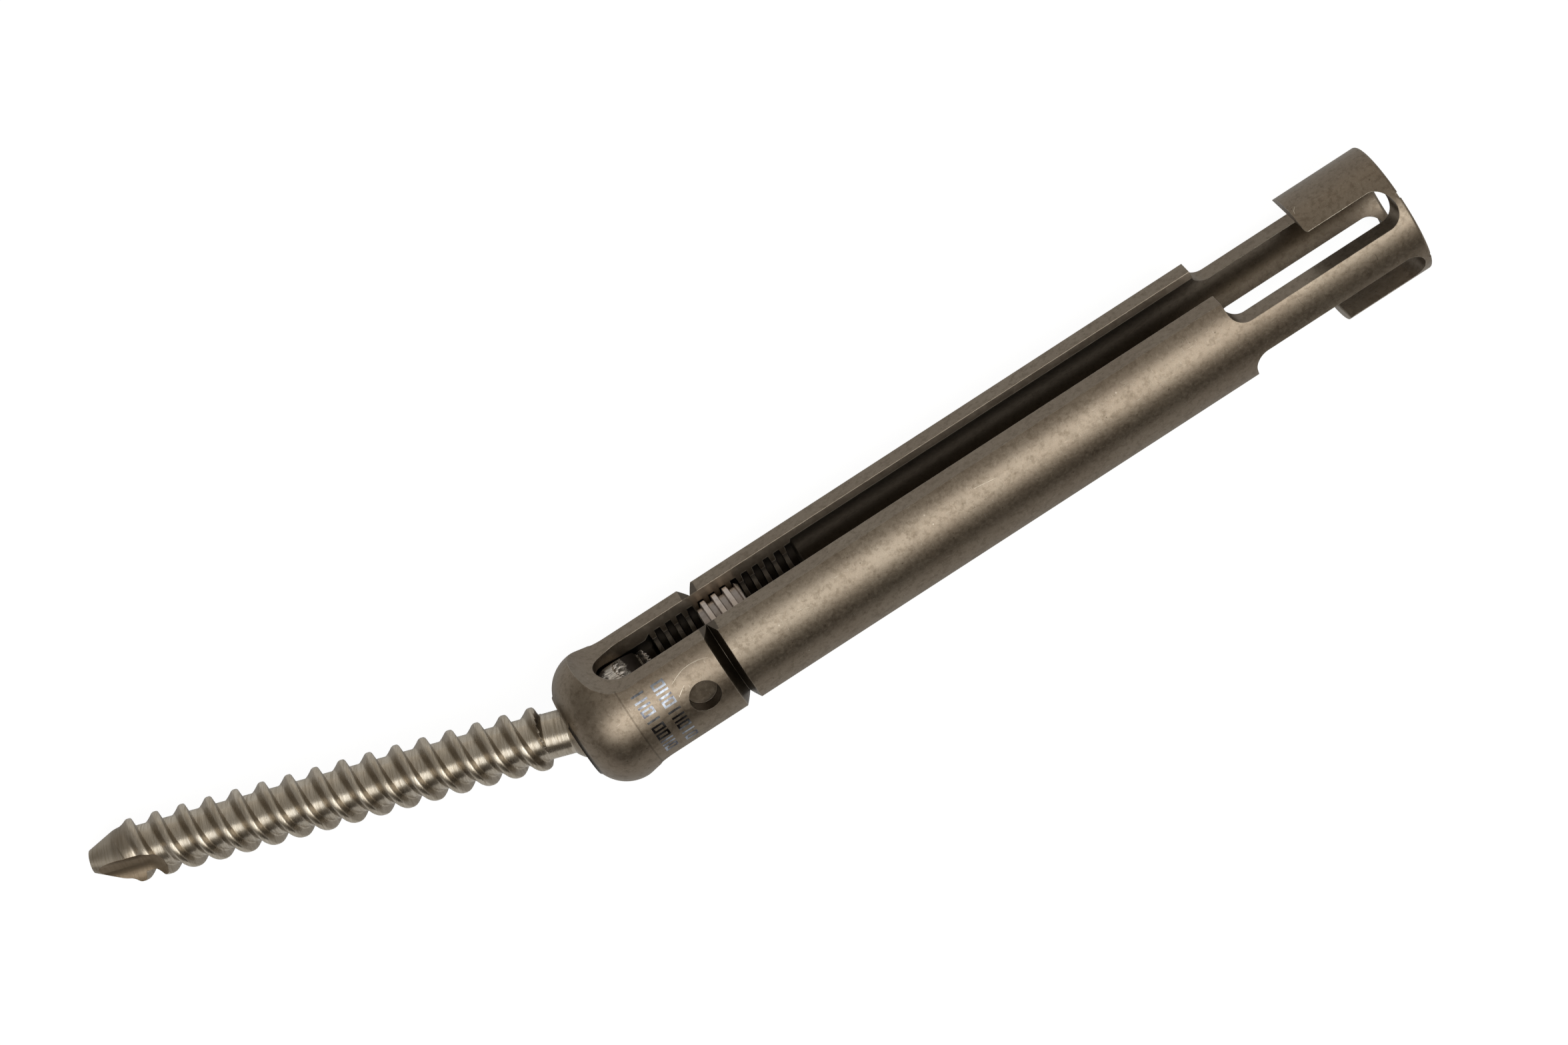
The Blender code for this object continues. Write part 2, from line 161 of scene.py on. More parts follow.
# Photograph: the ball's centre and the head's axis in its 2352 by 1568 pixels
IMAGE_WIDTH = 2352
IMAGE_HEIGHT = 1568
PIXELS_PER_MM = 15.05
BALL_PIXEL = (893.7, 1085.2)
HEAD_AXIS_ANGLE = 32.96
CAMERA_DISTANCE = 408.0
SENSOR_WIDTH = 36.0
CLIP_START = 0.01

# Values that follow
SLOT_HALF = SLOT_WIDTH / 2
STRIP_HALF = STRIP_WIDTH / 2
FLAG_INNER = STRIP_HALF + 2 * WINDOW_CUTTER_RADIUS
SEAT_RADIUS = BALL_RADIUS + SEAT_GAP
POCKET_RADIUS = SADDLE_RADIUS + SEAT_GAP
THREAD_DEPTH = BONE_THREAD_RADIUS - CORE_RADIUS
BALL_CENTRE = Vector(next(j["pos_m"] for j in frame["joints"] if j["name"] == "shank_tilt"))

# Thread ridges as shares of their spacing and their depth, with rounded corners
BONE_RIDGE = (
    (0.00, 0.0), (0.12, 0.0), (0.24, 0.0), (0.35, 0.0), (0.385, 0.02), (0.42, 0.08), (0.50, 0.31),
    (0.58, 0.58), (0.65, 0.84), (0.70, 0.95), (0.75, 1.0), (0.84, 1.0), (0.88, 0.97), (0.915, 0.85),
    (0.95, 0.48), (0.985, 0.07),
)
PLUG_RIDGE = ((0.0, 0.0), (0.40, 0.0), (0.43, 0.06), (0.53, 0.94), (0.56, 1.0), (0.88, 1.0), (0.92, 0.94),
              (0.99, 0.04))
TAP_RIDGE = ((0.0, 0.0), (0.36, 0.0), (0.44, 1.0), (0.96, 1.0))


# Frames of the two bodies

def shank_direction():
    touch = SHANK_REACH - TOUCH_FROM_TIP
    droop = asin(BULB_RADIUS / hypot(touch, BONE_THREAD_RADIUS)) - atan2(BONE_THREAD_RADIUS, touch)
    side = radians(SHANK_SIDE_ANGLE)
    return Vector((cos(droop) * cos(side), -cos(droop) * sin(side), sin(droop)))


HEAD_FRAME = Matrix.Translation(BALL_CENTRE) @ Matrix.Rotation(radians(HEAD_ROLL), 4, "X")
SHANK_FRAME = Matrix.Translation(BALL_CENTRE) @ shank_direction().to_track_quat("X", "Z").to_matrix().to_4x4()


# Mesh helpers

def arc(centre, radius, start, end, step=ARC_STEP):
    count = max(1, ceil(abs(end - start) / step - ARC_STEP_SLACK))
    angles = [start + (end - start) * i / count for i in range(count + 1)]
    return [(centre[0] + radius * cos(a), centre[1] + radius * sin(a)) for a in angles]


def round_point(x, radius, angle):
    return Vector((x, radius * cos(angle), radius * sin(angle))) * MM


def mesh_from_bmesh(name, shape):
    bmesh.ops.remove_doubles(shape, verts=shape.verts, dist=MERGE_DISTANCE)
    bmesh.ops.recalc_face_normals(shape, faces=shape.faces)
    mesh = bpy.data.meshes.new(name)
    shape.to_mesh(mesh)
    shape.free()
    return mesh


def turned_solid(name, profile, segments, is_ring):
    shape = bmesh.new()
    angles = [2 * pi * i / segments for i in range(segments)]
    rows = [[shape.verts.new(round_point(x, r, a)) for a in angles] for x, r in profile]
    pairs = list(zip(rows, rows[1:]))
    if is_ring:
        pairs.append((rows[-1], rows[0]))
    for first, second in pairs:
        for i in range(segments):
            j = (i + 1) % segments
            shape.faces.new((first[i], first[j], second[j], second[i]))
    if not is_ring:
        shape.faces.new(rows[0])
        shape.faces.new(rows[-1])
    return mesh_from_bmesh(name, shape)


def extruded_solid(name, outline, plane, low, high):
    shape = bmesh.new()
    ends = []
    for depth in (low, high):
        if plane == "xz":
            points = [Vector((x, depth, w)) for x, w in outline]
        else:
            points = [Vector((x, w, depth)) for x, w in outline]
        ends.append([shape.verts.new(point * MM) for point in points])
    for i in range(len(outline)):
        j = (i + 1) % len(outline)
        shape.faces.new((ends[0][i], ends[0][j], ends[1][j], ends[1][i]))
    shape.faces.new(ends[0])
    shape.faces.new(ends[1])
    return mesh_from_bmesh(name, shape)


def cylinder_between(name, start, end, radius, segments):
    start, end = Vector(start), Vector(end)
    shape = bmesh.new()
    turn = (end - start).to_track_quat("Z", "Y").to_matrix().to_4x4()
    place = Matrix.Translation((start + end) / 2 * MM) @ turn
    bmesh.ops.create_cone(shape, cap_ends=True, segments=segments, radius1=radius * MM,
                          radius2=radius * MM, depth=(end - start).length * MM, matrix=place)
    return mesh_from_bmesh(name, shape)


def hexagon_prism(name, across_flats, low, high):
    radius = across_flats / 2 / cos(pi / 6)
    shape = bmesh.new()
    rows = []
    for x in (low, high):
        rows.append([shape.verts.new(round_point(x, radius, pi / 3 * i)) for i in range(6)])
    for i in range(6):
        j = (i + 1) % 6
        shape.faces.new((rows[0][i], rows[0][j], rows[1][j], rows[1][i]))
    shape.faces.new(rows[0])
    shape.faces.new(rows[1])
    return mesh_from_bmesh(name, shape)


def helical_rows(low, high, first, spacing, starts, ridge, segments, radius_at):
    """Columns of (x, radius) points round a thread, each column a little further along."""
    ridges = ceil((high - low) / spacing) + starts + 1
    columns = []
    for i in range(segments + 1):
        shift = spacing * starts * i / segments
        column = []
        for k in range(-starts, ridges):
            for place, share in ridge:
                x = min(high, max(low, first + shift + spacing * (k + place)))
                column.append((x, radius_at(x, share)))
        columns.append(column)
    return columns


def threaded_solid(name, columns, segments, high_profile):
    shape = bmesh.new()
    grid = []
    for i, column in enumerate(columns):
        angle = 2 * pi * i / segments
        grid.append([shape.verts.new(round_point(x, r, angle)) for x, r in column + high_profile])
    for i in range(segments):
        for j in range(len(grid[0]) - 1):
            shape.faces.new((grid[i][j], grid[i + 1][j], grid[i + 1][j + 1], grid[i][j + 1]))
    bmesh.ops.remove_doubles(shape, verts=shape.verts, dist=MERGE_DISTANCE)
    open_edges = [edge for edge in shape.edges if edge.is_boundary]
    bmesh.ops.holes_fill(shape, edges=open_edges, sides=0)
    return mesh_from_bmesh(name, shape)


def new_object(name, mesh, place):
    thing = bpy.data.objects.new(name, mesh)
    bpy.context.scene.collection.objects.link(thing)
    thing.matrix_world = place
    return thing


def cut_all(target, cutter_meshes):
    """Cuts each mesh out of the target and applies the result."""
    cutters = []
    for mesh in cutter_meshes:
        cutter = new_object(mesh.name, mesh, target.matrix_world)
        boolean = target.modifiers.new(mesh.name, "BOOLEAN")
        boolean.operation = "DIFFERENCE"
        boolean.solver = "EXACT"
        boolean.object = cutter
        cutters.append(cutter)
    bpy.context.view_layer.update()
    graph = bpy.context.evaluated_depsgraph_get()
    result = bpy.data.meshes.new_from_object(target.evaluated_get(graph))
    target.modifiers.clear()
    target.data = result
    for cutter in cutters:
        bpy.data.objects.remove(cutter)


def finish_piece(thing, body, node, material, sharp=SHARP_ANGLE):
    """Puts a piece's shape in the row frame, and gives it its material and its body."""
    thing.data.transform(thing.matrix_world)
    thing.matrix_world = Matrix.Identity(4)
    thing.data.materials.clear()
    thing.data.materials.append(material)
    thing.data.shade_smooth()
    thing.data.set_sharp_from_angle(angle=radians(sharp))
    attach(thing, body)
    if node:
        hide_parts(node)


# Finishes, painted shade and painted light: a darkness, a shade, a share or a light is how much of its colour
# a mask lays over the metal

# Head
HEAD_COLOUR = (0.265, 0.222, 0.175)
HEAD_ROUGHNESS = 0.35
DARK_CLOUD = (0.252, 0.207, 0.160)
LIGHT_CLOUD = (0.290, 0.246, 0.194)
GRAIN_COLOUR = (0.13, 0.10, 0.07)
PALE_SPOT = (0.37, 0.325, 0.262)
MOTTLE_COLOUR = (0.165, 0.132, 0.096)
STAIN_COLOUR = (0.165, 0.128, 0.09)
SPECKS_PER_METRE = 900
DARK_SPECK = (0.08, 0.06, 0.04)
PALE_SPECK = (0.50, 0.45, 0.38)
RUB_COLOUR = (0.55, 0.52, 0.46)
RUB_SHARE = 0.4
WORN_EDGE_RADIUS = 0.09
WORN_EDGE_COLOUR = (0.62, 0.575, 0.50)

# Head's bore, slot and recesses: painted shade in the bore and its thread, on the dimples' walls, in the
# break-off groove and on the step above the bulb, and painted light on the slot's walls
# Painted shade: the bore's inside is painted near black, less on the thread's crests and near the ring
BORE_SHADE_COLOUR = (0.03, 0.024, 0.018)
CREST_DARKNESS = 0.62
GROOVE_DARKNESS = 0.97
TAB_BORE_SHARE = 0.7
RING_DARKNESS = 0.42
RING_FADE_START = TAB_END - 6.0
RING_FADE_END = TAB_END + 4.0
# Painted light on the slot's walls, which lie in the near tab's shade, rising towards the opening
SLOT_WALL_LIGHT_COLOUR = (0.62, 0.53, 0.43)
SLOT_WALL_PAINTED_LIGHT = 0.6
SLOT_WALL_FADE = (4.3, 5.3)
# Painted shade on the dimples' walls, in the break-off groove and on the step above the bulb
DIMPLE_SHADE_COLOUR = (0.035, 0.027, 0.02)
DIMPLE_SHADE_AMOUNT = 0.97
BREAK_GROOVE_SHADE_COLOUR = (0.05, 0.04, 0.03)
BREAK_GROOVE_SHADE_AMOUNT = 0.75
BREAK_GROOVE_REACH = 0.85
STEP_SHADE_COLOUR = (0.07, 0.055, 0.04)
STEP_SHADE_AMOUNT = 0.45

# Shank
SHANK_COLOUR = (0.62, 0.565, 0.48)
SHANK_ROUGHNESS = 0.2
DARK_BAND = (0.56, 0.505, 0.42)
LIGHT_BAND = (0.66, 0.61, 0.53)
TURNED_RING_COLOUR = (0.33, 0.275, 0.20)
SHANK_NICK_COLOUR = (0.22, 0.18, 0.13)
# Painted shade on the bone thread's flanks
FLANK_SHADE_COLOUR = (0.23, 0.19, 0.145)
FLANK_SHADE_AMOUNT = 0.55
TIP_COLOUR = (0.27, 0.235, 0.19)
TIP_DARKNESS = 0.5
TIP_FADE = (4.0, 5.2)
# Painted shade in the flutes' hollows
FLUTE_SHADE_COLOUR = (0.29, 0.225, 0.155)
FLUTE_SHADE_AMOUNT = 0.85
MATTE_TIP = 0.22
BRUSHED_STRENGTH = 0.75
BRUSHED_TURN = 0.25

# Saddle, set screw, scratches and marks
BARE_ROUGHNESS = 0.28
# Painted shade in the set screw's thread roots
THREAD_ROOT_SHADE_COLOUR = (0.10, 0.08, 0.07)
SADDLE_COLOUR = (0.50, 0.46, 0.41)
SADDLE_ROUGHNESS = 0.34
# Painted shade over the saddle, which sits in the head's bore
SADDLE_SHADE = (0.085, 0.072, 0.062)
TORN_PALE = (0.80, 0.75, 0.68)
TORN_DARK = (0.26, 0.23, 0.20)
TORN_START = 3.4
TORN_END = 5.7
TORN_RAGGED = 1.6
TORN_RIM = 0.40
TORN_LINE = 0.62
BRIGHT_SCRATCH_COLOUR = (0.62, 0.57, 0.48)
DARK_SCRATCH_COLOUR = (0.10, 0.08, 0.06)
# Torn bright metal, painted lighter still as painted light, since the burrs lie in the bore's shade
BURR_COLOUR_AND_LIGHT = (0.93, 0.88, 0.82)
PLUG_COLOUR = (0.64, 0.57, 0.52)
BARE_DULLING = 0.2
BURR_DULLING = 0.35
PLUG_ROOT_SHADE_AMOUNT = 0.55
OXIDE_COLOUR = (0.40, 0.42, 0.47)
OXIDE_ROUGHNESS = 0.16
DARK_OXIDE = (0.10, 0.10, 0.115)
PALE_OXIDE = (0.38, 0.42, 0.49)


class Nodes:
    """Short calls for building one material's node tree."""

    def __init__(self, name, roughness, colour, lie=None):
        self.material = bpy.data.materials.new(name)
        self.material.use_nodes = True
        self.tree = self.material.node_tree
        self.shader = self.tree.nodes["Principled BSDF"]
        self.shader.inputs["Metallic"].default_value = 1.0
        self.shader.inputs["Roughness"].default_value = roughness
        self.shader.inputs["Base Color"].default_value = rgb(*colour)
        self.place = self.tree.nodes.new("ShaderNodeTexCoord").outputs["Object"]
        if lie is not None:
            into_lie = self.add("ShaderNodeMapping", {
                "Vector": self.place, "Location": lie.translation, "Rotation": lie.to_euler(),
            }, vector_type="TEXTURE")
            self.place = into_lie.outputs["Vector"]

    def add(self, kind, inputs=(), **settings):
        return add_node(self.tree, kind, inputs, **settings)

    def math(self, operation, a, b=0.0):
        return self.add("ShaderNodeMath", {0: a, 1: b}, operation=operation).outputs[0]

    def times(self, a, b):
        return self.math("MULTIPLY", a, b)

    def distance(self, value, middle_mm):
        """How far a length in metres is from a middle in millimetres."""
        return self.math("ABSOLUTE", self.math("SUBTRACT", value, middle_mm * MM))

    def scaled(self, scale):
        """The piece's own coordinates, stretched by a factor along each axis."""
        node = self.add("ShaderNodeMapping", {"Vector": self.place, "Scale": scale})
        return node.outputs["Vector"]

    def noise(self, per_mm, detail, rough, stretch=(1, 1, 1)):
        """Noise with so many features per millimetre, times a factor along each axis."""
        scale = tuple(s * per_mm / MM for s in stretch)
        node = self.add("ShaderNodeTexNoise",
                        {"Vector": self.scaled(scale), "Scale": 1.0, "Detail": detail, "Roughness": rough})
        return node.outputs["Fac"]

    def ramp(self, value, low, high, to_low=0.0, to_high=1.0):
        """Maps low..high of a value to to_low..to_high, clamped."""
        node = self.add("ShaderNodeMapRange", {"Value": value, "From Min": low, "From Max": high,
                                               "To Min": to_low, "To Max": to_high})
        return node.outputs["Result"]

    def rise(self, length, low_mm, high_mm, to_low=0.0, to_high=1.0):
        """Maps a length in metres from low..high in millimetres to to_low..to_high, clamped."""
        return self.ramp(length, low_mm * MM, high_mm * MM, to_low, to_high)

    def fall(self, length, low_mm, high_mm):
        """1 below low, 0 above high, both in millimetres."""
        return self.rise(length, low_mm, high_mm, 1.0, 0.0)

    def mix(self, factor, a, b):
        """Blends from the colour a, where the factor is 0, to the colour b, where it is 1."""
        node = self.tree.nodes.new("ShaderNodeMix")
        node.data_type = "RGBA"
        self.set(node.inputs[0], factor)
        self.set(node.inputs[6], a)
        self.set(node.inputs[7], b)
        return node.outputs[2]

    def set(self, socket, value):
        if isinstance(value, bpy.types.NodeSocket):
            self.tree.links.new(value, socket)
        elif isinstance(value, tuple):
            socket.default_value = rgb(*value)
        else:
            socket.default_value = value

    def bump(self, height, strength, distance_mm, normal=None):
        inputs = {"Height": height, "Strength": strength, "Distance": distance_mm * MM}
        if normal is not None:
            inputs["Normal"] = normal
        return self.add("ShaderNodeBump", inputs).outputs["Normal"]

    def bevel(self, radius_mm, samples):
        node = self.add("ShaderNodeBevel", {"Radius": radius_mm * MM}, samples=samples)
        return node.outputs["Normal"]

    def link(self, value, name):
        self.tree.links.new(value, self.shader.inputs[name])


def add_node(tree, kind, inputs=(), **settings):
    """A new node with its settings, and each input linked to a socket or set to a value."""
    node = tree.nodes.new(kind)
    for name, value in settings.items():
        setattr(node, name, value)
    for name, value in dict(inputs).items():
        if isinstance(value, bpy.types.NodeSocket):
            tree.links.new(value, node.inputs[name])
        else:
            node.inputs[name].default_value = value
    return node


def rgb(red, green, blue):
    return (red, green, blue, 1.0)


def axis_place(n):
    """The split coordinates, the squared distances sideways and upward, and the distance from the axis."""
    parts = n.add("ShaderNodeSeparateXYZ", {"Vector": n.place}).outputs
    across = n.math("POWER", parts["Y"], 2.0)
    upward = n.math("POWER", parts["Z"], 2.0)
    return parts, across, upward, n.math("SQRT", n.math("ADD", across, upward))


def edge_mask(n, radius_mm):
    """1 where two faces meet within the radius and 0 on plain stretches, and the rounded normal."""
    rounded = n.bevel(radius_mm, 6)
    plain = n.add("ShaderNodeNewGeometry").outputs["Normal"]
    along = n.add("ShaderNodeVectorMath", {0: rounded, 1: plain}, operation="DOT_PRODUCT").outputs["Value"]
    return n.ramp(along, 0.985, 0.90), rounded


def speckled(n, colour):
    """Adds sparse specks, a few pale and most dark."""
    scale = (SPECKS_PER_METRE, SPECKS_PER_METRE, SPECKS_PER_METRE)
    cells = n.add("ShaderNodeTexVoronoi", {"Vector": n.scaled(scale), "Scale": 1.0}, feature="F1")
    chosen = n.add("ShaderNodeSeparateColor", {"Color": cells.outputs["Color"]})
    near_middle = n.ramp(cells.outputs["Distance"], 0.05, 0.10, 0.6, 0.0)
    mask = n.times(near_middle, n.ramp(chosen.outputs["Red"], 0.55, 0.6))
    speck = n.mix(n.ramp(chosen.outputs["Green"], 0.80, 0.82), DARK_SPECK, PALE_SPECK)
    return n.mix(mask, colour, speck)


def rubbed(n, colour):
    """Adds faint pale scratches along and across the axis."""
    lengthwise = n.ramp(n.noise(1.2, 2.0, 0.5, (0.5, 10.0, 10.0)), 0.735, 0.75)
    crosswise = n.ramp(n.noise(1.5, 1.0, 0.5, (14.0, 1.0, 1.0)), 0.745, 0.76)
    return n.mix(n.times(n.math("MAXIMUM", lengthwise, crosswise), RUB_SHARE), colour, RUB_COLOUR)


def painted_shade_in_bore(n, colour, x, radius, off_wall):
    """Paints shade into the inside of the bore and its thread, lighter towards the ring, but not onto the
    slot's walls.
    """
    deep = n.rise(radius, INNER_THREAD_RADIUS + 0.03, INNER_THREAD_RADIUS + 0.12,
                  CREST_DARKNESS, GROOVE_DARKNESS)
    shallow = n.rise(radius, THREAD_BORE_RADIUS + 0.05, TAB_BORE_RADIUS - 0.05, 1.0, TAB_BORE_SHARE)
    outside = n.fall(radius, TAB_BORE_RADIUS + 0.02, TAB_BORE_RADIUS + 0.10)
    below_ring = n.rise(x, RING_FADE_START, RING_FADE_END, 1.0, RING_DARKNESS)
    # Painted shade inside the bore, deepest in the thread's grooves
    inside = n.times(n.times(deep, shallow), outside)
    inside = n.times(inside, n.times(off_wall, below_ring))
    return n.mix(inside, colour, BORE_SHADE_COLOUR)


def painted_light_on_slot(n, colour, x, upward, radius, off_wall):
    """Paints light onto the slot's walls outside the bore, past the slot's round bottom, brighter towards the
    slot's opening.
    """
    wall_radius = hypot(FLAT_HALF_WIDTH, SLOT_HALF)
    # Painted light, rising towards the slot's opening
    mask = n.times(n.math("SUBTRACT", 1.0, off_wall), n.rise(radius, *SLOT_WALL_FADE))
    mask = n.times(mask, n.fall(radius, wall_radius + 0.01, wall_radius + 0.04))
    on_wall = n.rise(n.math("SQRT", upward), SLOT_HALF - 0.03, SLOT_HALF - 0.01)
    past_bottom = n.rise(x, SLOT_BOTTOM + SLOT_HALF, SLOT_BOTTOM + SLOT_WIDTH)
    mask = n.times(mask, n.times(on_wall, past_bottom))
    return n.mix(n.times(mask, SLOT_WALL_PAINTED_LIGHT), colour, SLOT_WALL_LIGHT_COLOUR)


def painted_shade_in_recesses(n, colour, x, across, radius):
    """Paints shade onto the dimples' walls, into the break-off groove and onto the step above the bulb."""
    # Painted shade on the dimples' walls, in the groove and on the step
    along = n.math("POWER", n.distance(x, DIMPLE_HEIGHT), 2.0)
    from_dimple = n.math("SQRT", n.math("ADD", along, across))
    wall = n.times(n.rise(from_dimple, DIMPLE_RADIUS - 0.05, DIMPLE_RADIUS - 0.02),
                   n.fall(from_dimple, DIMPLE_RADIUS + 0.01, DIMPLE_RADIUS + 0.02))
    colour = n.mix(n.times(wall, DIMPLE_SHADE_AMOUNT), colour, DIMPLE_SHADE_COLOUR)
    from_valley = n.distance(x, GROOVE_VALLEY)
    in_groove = n.times(n.fall(radius, HEAD_RADIUS - 0.25, HEAD_RADIUS - 0.05),
                        n.fall(from_valley, BREAK_GROOVE_REACH, BREAK_GROOVE_REACH + 0.10))
    in_groove = n.times(in_groove, n.rise(radius, GROOVE_RADIUS - 0.05, GROOVE_RADIUS + 0.02))
    colour = n.mix(n.times(in_groove, BREAK_GROOVE_SHADE_AMOUNT), colour, BREAK_GROOVE_SHADE_COLOUR)
    from_step = n.distance(x, BULB_TOP + BULB_STEP_LENGTH)
    on_step = n.times(n.fall(from_step, 0.04, 0.12), n.rise(radius, HEAD_RADIUS - 0.3, HEAD_RADIUS - 0.1))
    return n.mix(n.times(on_step, STEP_SHADE_AMOUNT), colour, STEP_SHADE_COLOUR)


def blasted_titanium():
    """Matte brown-grey metal with a fine blasted grain, cloudy stains, specks, scratches and worn edges, with
    painted shade in the bore and recesses and painted light on the slot's walls.
    """
    n = Nodes("blasted_titanium", HEAD_ROUGHNESS, HEAD_COLOUR, HEAD_FRAME)
    clouds = n.noise(0.10, 4.0, 0.6)
    blots = n.noise(0.8, 5.0, 0.7)
    grain = n.noise(11.0, 2.0, 0.6)
    fine = n.noise(3.0, 4.0, 0.65)
    mottles = n.noise(1.7, 4.0, 0.7)
    colour = n.mix(n.ramp(clouds, 0.36, 0.64), DARK_CLOUD, LIGHT_CLOUD)
    colour = n.mix(n.ramp(grain, 0.40, 0.62, 0.0, 0.16), colour, GRAIN_COLOUR)
    colour = n.mix(n.ramp(fine, 0.50, 0.72, 0.0, 0.35), colour, PALE_SPOT)
    colour = n.mix(n.ramp(mottles, 0.49, 0.63, 0.0, 0.60), colour, MOTTLE_COLOUR)
    colour = n.mix(n.ramp(blots, 0.55, 0.72, 0.0, 0.50), colour, STAIN_COLOUR)
    colour = rubbed(n, speckled(n, colour))
    edges, rounded = edge_mask(n, WORN_EDGE_RADIUS)
    wear = n.times(edges, n.ramp(blots, 0.42, 0.58, 0.1, 0.75))
    colour = n.mix(wear, colour, WORN_EDGE_COLOUR)
    parts, across, upward, radius = axis_place(n)
    x = parts["X"]
    off_wall = n.rise(n.math("ABSOLUTE", parts["Z"]), SLOT_HALF + 0.01, SLOT_HALF + 0.03)
    colour = painted_shade_in_bore(n, colour, x, radius, off_wall)
    colour = painted_light_on_slot(n, colour, x, upward, radius, off_wall)
    colour = painted_shade_in_recesses(n, colour, x, across, radius)
    n.link(colour, "Base Color")
    rough = n.math("ADD", n.ramp(fine, 0.3, 0.7, HEAD_ROUGHNESS - 0.04, HEAD_ROUGHNESS + 0.06),
                   n.ramp(blots, 0.5, 0.75, 0.0, 0.08))
    n.link(rough, "Roughness")
    height = n.math("ADD", n.times(grain, 0.8), n.times(fine, 0.5))
    n.link(n.bump(height, 0.30, 0.02, rounded), "Normal")
    return n.material


def flute_distance(n, from_tip, across, upward):
    """Distance from the middle line of the nearer flute's cutter, which has a round end."""
    turn = radians(FLUTE_FIRST_ANGLE)
    offset = (FLUTE_FLOOR_RADIUS + FLUTE_CUTTER_RADIUS) * MM
    direction = (0.0, sin(turn), cos(turn))
    outward = n.add("ShaderNodeVectorMath", {0: n.place, 1: direction}, operation="DOT_PRODUCT")
    height = n.math("ABSOLUTE", outward.outputs["Value"])
    squared = n.math("SUBTRACT", n.math("ADD", across, upward), n.times(height, 2 * offset))
    squared = n.math("ADD", squared, offset ** 2)
    past_end = n.math("MAXIMUM", n.math("SUBTRACT", from_tip, FLUTE_LENGTH * MM), 0.0)
    return n.math("SQRT", n.math("ADD", squared, n.math("POWER", past_end, 2.0)))


def brush_around(n, parts):
    """Turns the gloss of the lathe's fine rings round the shank's axis."""
    backward = n.times(parts["Z"], -1.0)
    around = n.add("ShaderNodeCombineXYZ", {"X": 0.0, "Y": backward, "Z": parts["Y"]}).outputs["Vector"]
    around = n.add("ShaderNodeMapping", {"Vector": around, "Rotation": SHANK_FRAME.to_euler()},
                   vector_type="NORMAL").outputs["Vector"]
    around = n.add("ShaderNodeVectorTransform", {"Vector": around}, vector_type="VECTOR",
                   convert_from="OBJECT", convert_to="WORLD").outputs["Vector"]
    n.link(around, "Tangent")
    n.shader.inputs["Anisotropic"].default_value = BRUSHED_STRENGTH
    n.shader.inputs["Anisotropic Rotation"].default_value = BRUSHED_TURN


def turned_titanium():
    """Bright metal with fine rings left by turning, faint stains, small dark nicks and a darker tip, with
    painted shade on the thread's flanks and in the flutes.
    """
    n = Nodes("turned_titanium", SHANK_ROUGHNESS, SHANK_COLOUR, SHANK_FRAME)
    clouds = n.noise(0.3, 4.0, 0.6)
    rings = n.noise(1.0, 4.0, 0.8, (6.0, 0.3, 0.3))
    ragged = n.noise(1.0, 3.0, 0.7, (5.0, 0.9, 0.9))
    fine = n.noise(6.0, 3.0, 0.6)
    colour = n.mix(n.ramp(clouds, 0.35, 0.68), DARK_BAND, LIGHT_BAND)
    colour = n.mix(n.ramp(rings, 0.45, 0.66, 0.0, 0.72), colour, TURNED_RING_COLOUR)
    colour = n.mix(n.ramp(n.noise(2.3, 2.0, 0.5), 0.71, 0.76, 0.0, 0.55), colour, SHANK_NICK_COLOUR)
    parts, across, upward, radius = axis_place(n)
    from_tip = n.math("ADD", parts["X"], SHANK_REACH * MM)
    near_tip = n.fall(from_tip, *TIP_FADE)
    from_cutter = flute_distance(n, from_tip, across, upward)
    in_flute = n.math("LESS_THAN", from_cutter, (FLUTE_CUTTER_RADIUS + 0.03) * MM)
    # Painted shade on the thread's flanks, between core and crest
    on_flank = n.times(n.rise(radius, CORE_RADIUS + 0.05, CORE_RADIUS + 0.16),
                       n.fall(radius, BONE_THREAD_RADIUS - 0.14, BONE_THREAD_RADIUS - 0.04))
    colour = n.mix(n.times(on_flank, FLANK_SHADE_AMOUNT), colour, FLANK_SHADE_COLOUR)
    colour = n.mix(n.times(near_tip, TIP_DARKNESS), colour, TIP_COLOUR)
    # Painted shade in the flutes' hollows
    colour = n.mix(n.times(in_flute, FLUTE_SHADE_AMOUNT), colour, FLUTE_SHADE_COLOUR)
    n.link(colour, "Base Color")
    rough = n.math("ADD", n.ramp(rings, 0.3, 0.7, 0.21, 0.38), n.ramp(fine, 0.45, 0.8, 0.0, 0.08))
    rough = n.math("ADD", rough, n.times(n.math("MAXIMUM", near_tip, in_flute), MATTE_TIP))
    n.link(rough, "Roughness")
    brush_around(n, parts)
    relief = n.math("ADD", n.times(rings, 0.3), ragged)
    n.link(n.bump(relief, 0.45, 0.05, n.bevel(0.04, 4)), "Normal")
    return n.material


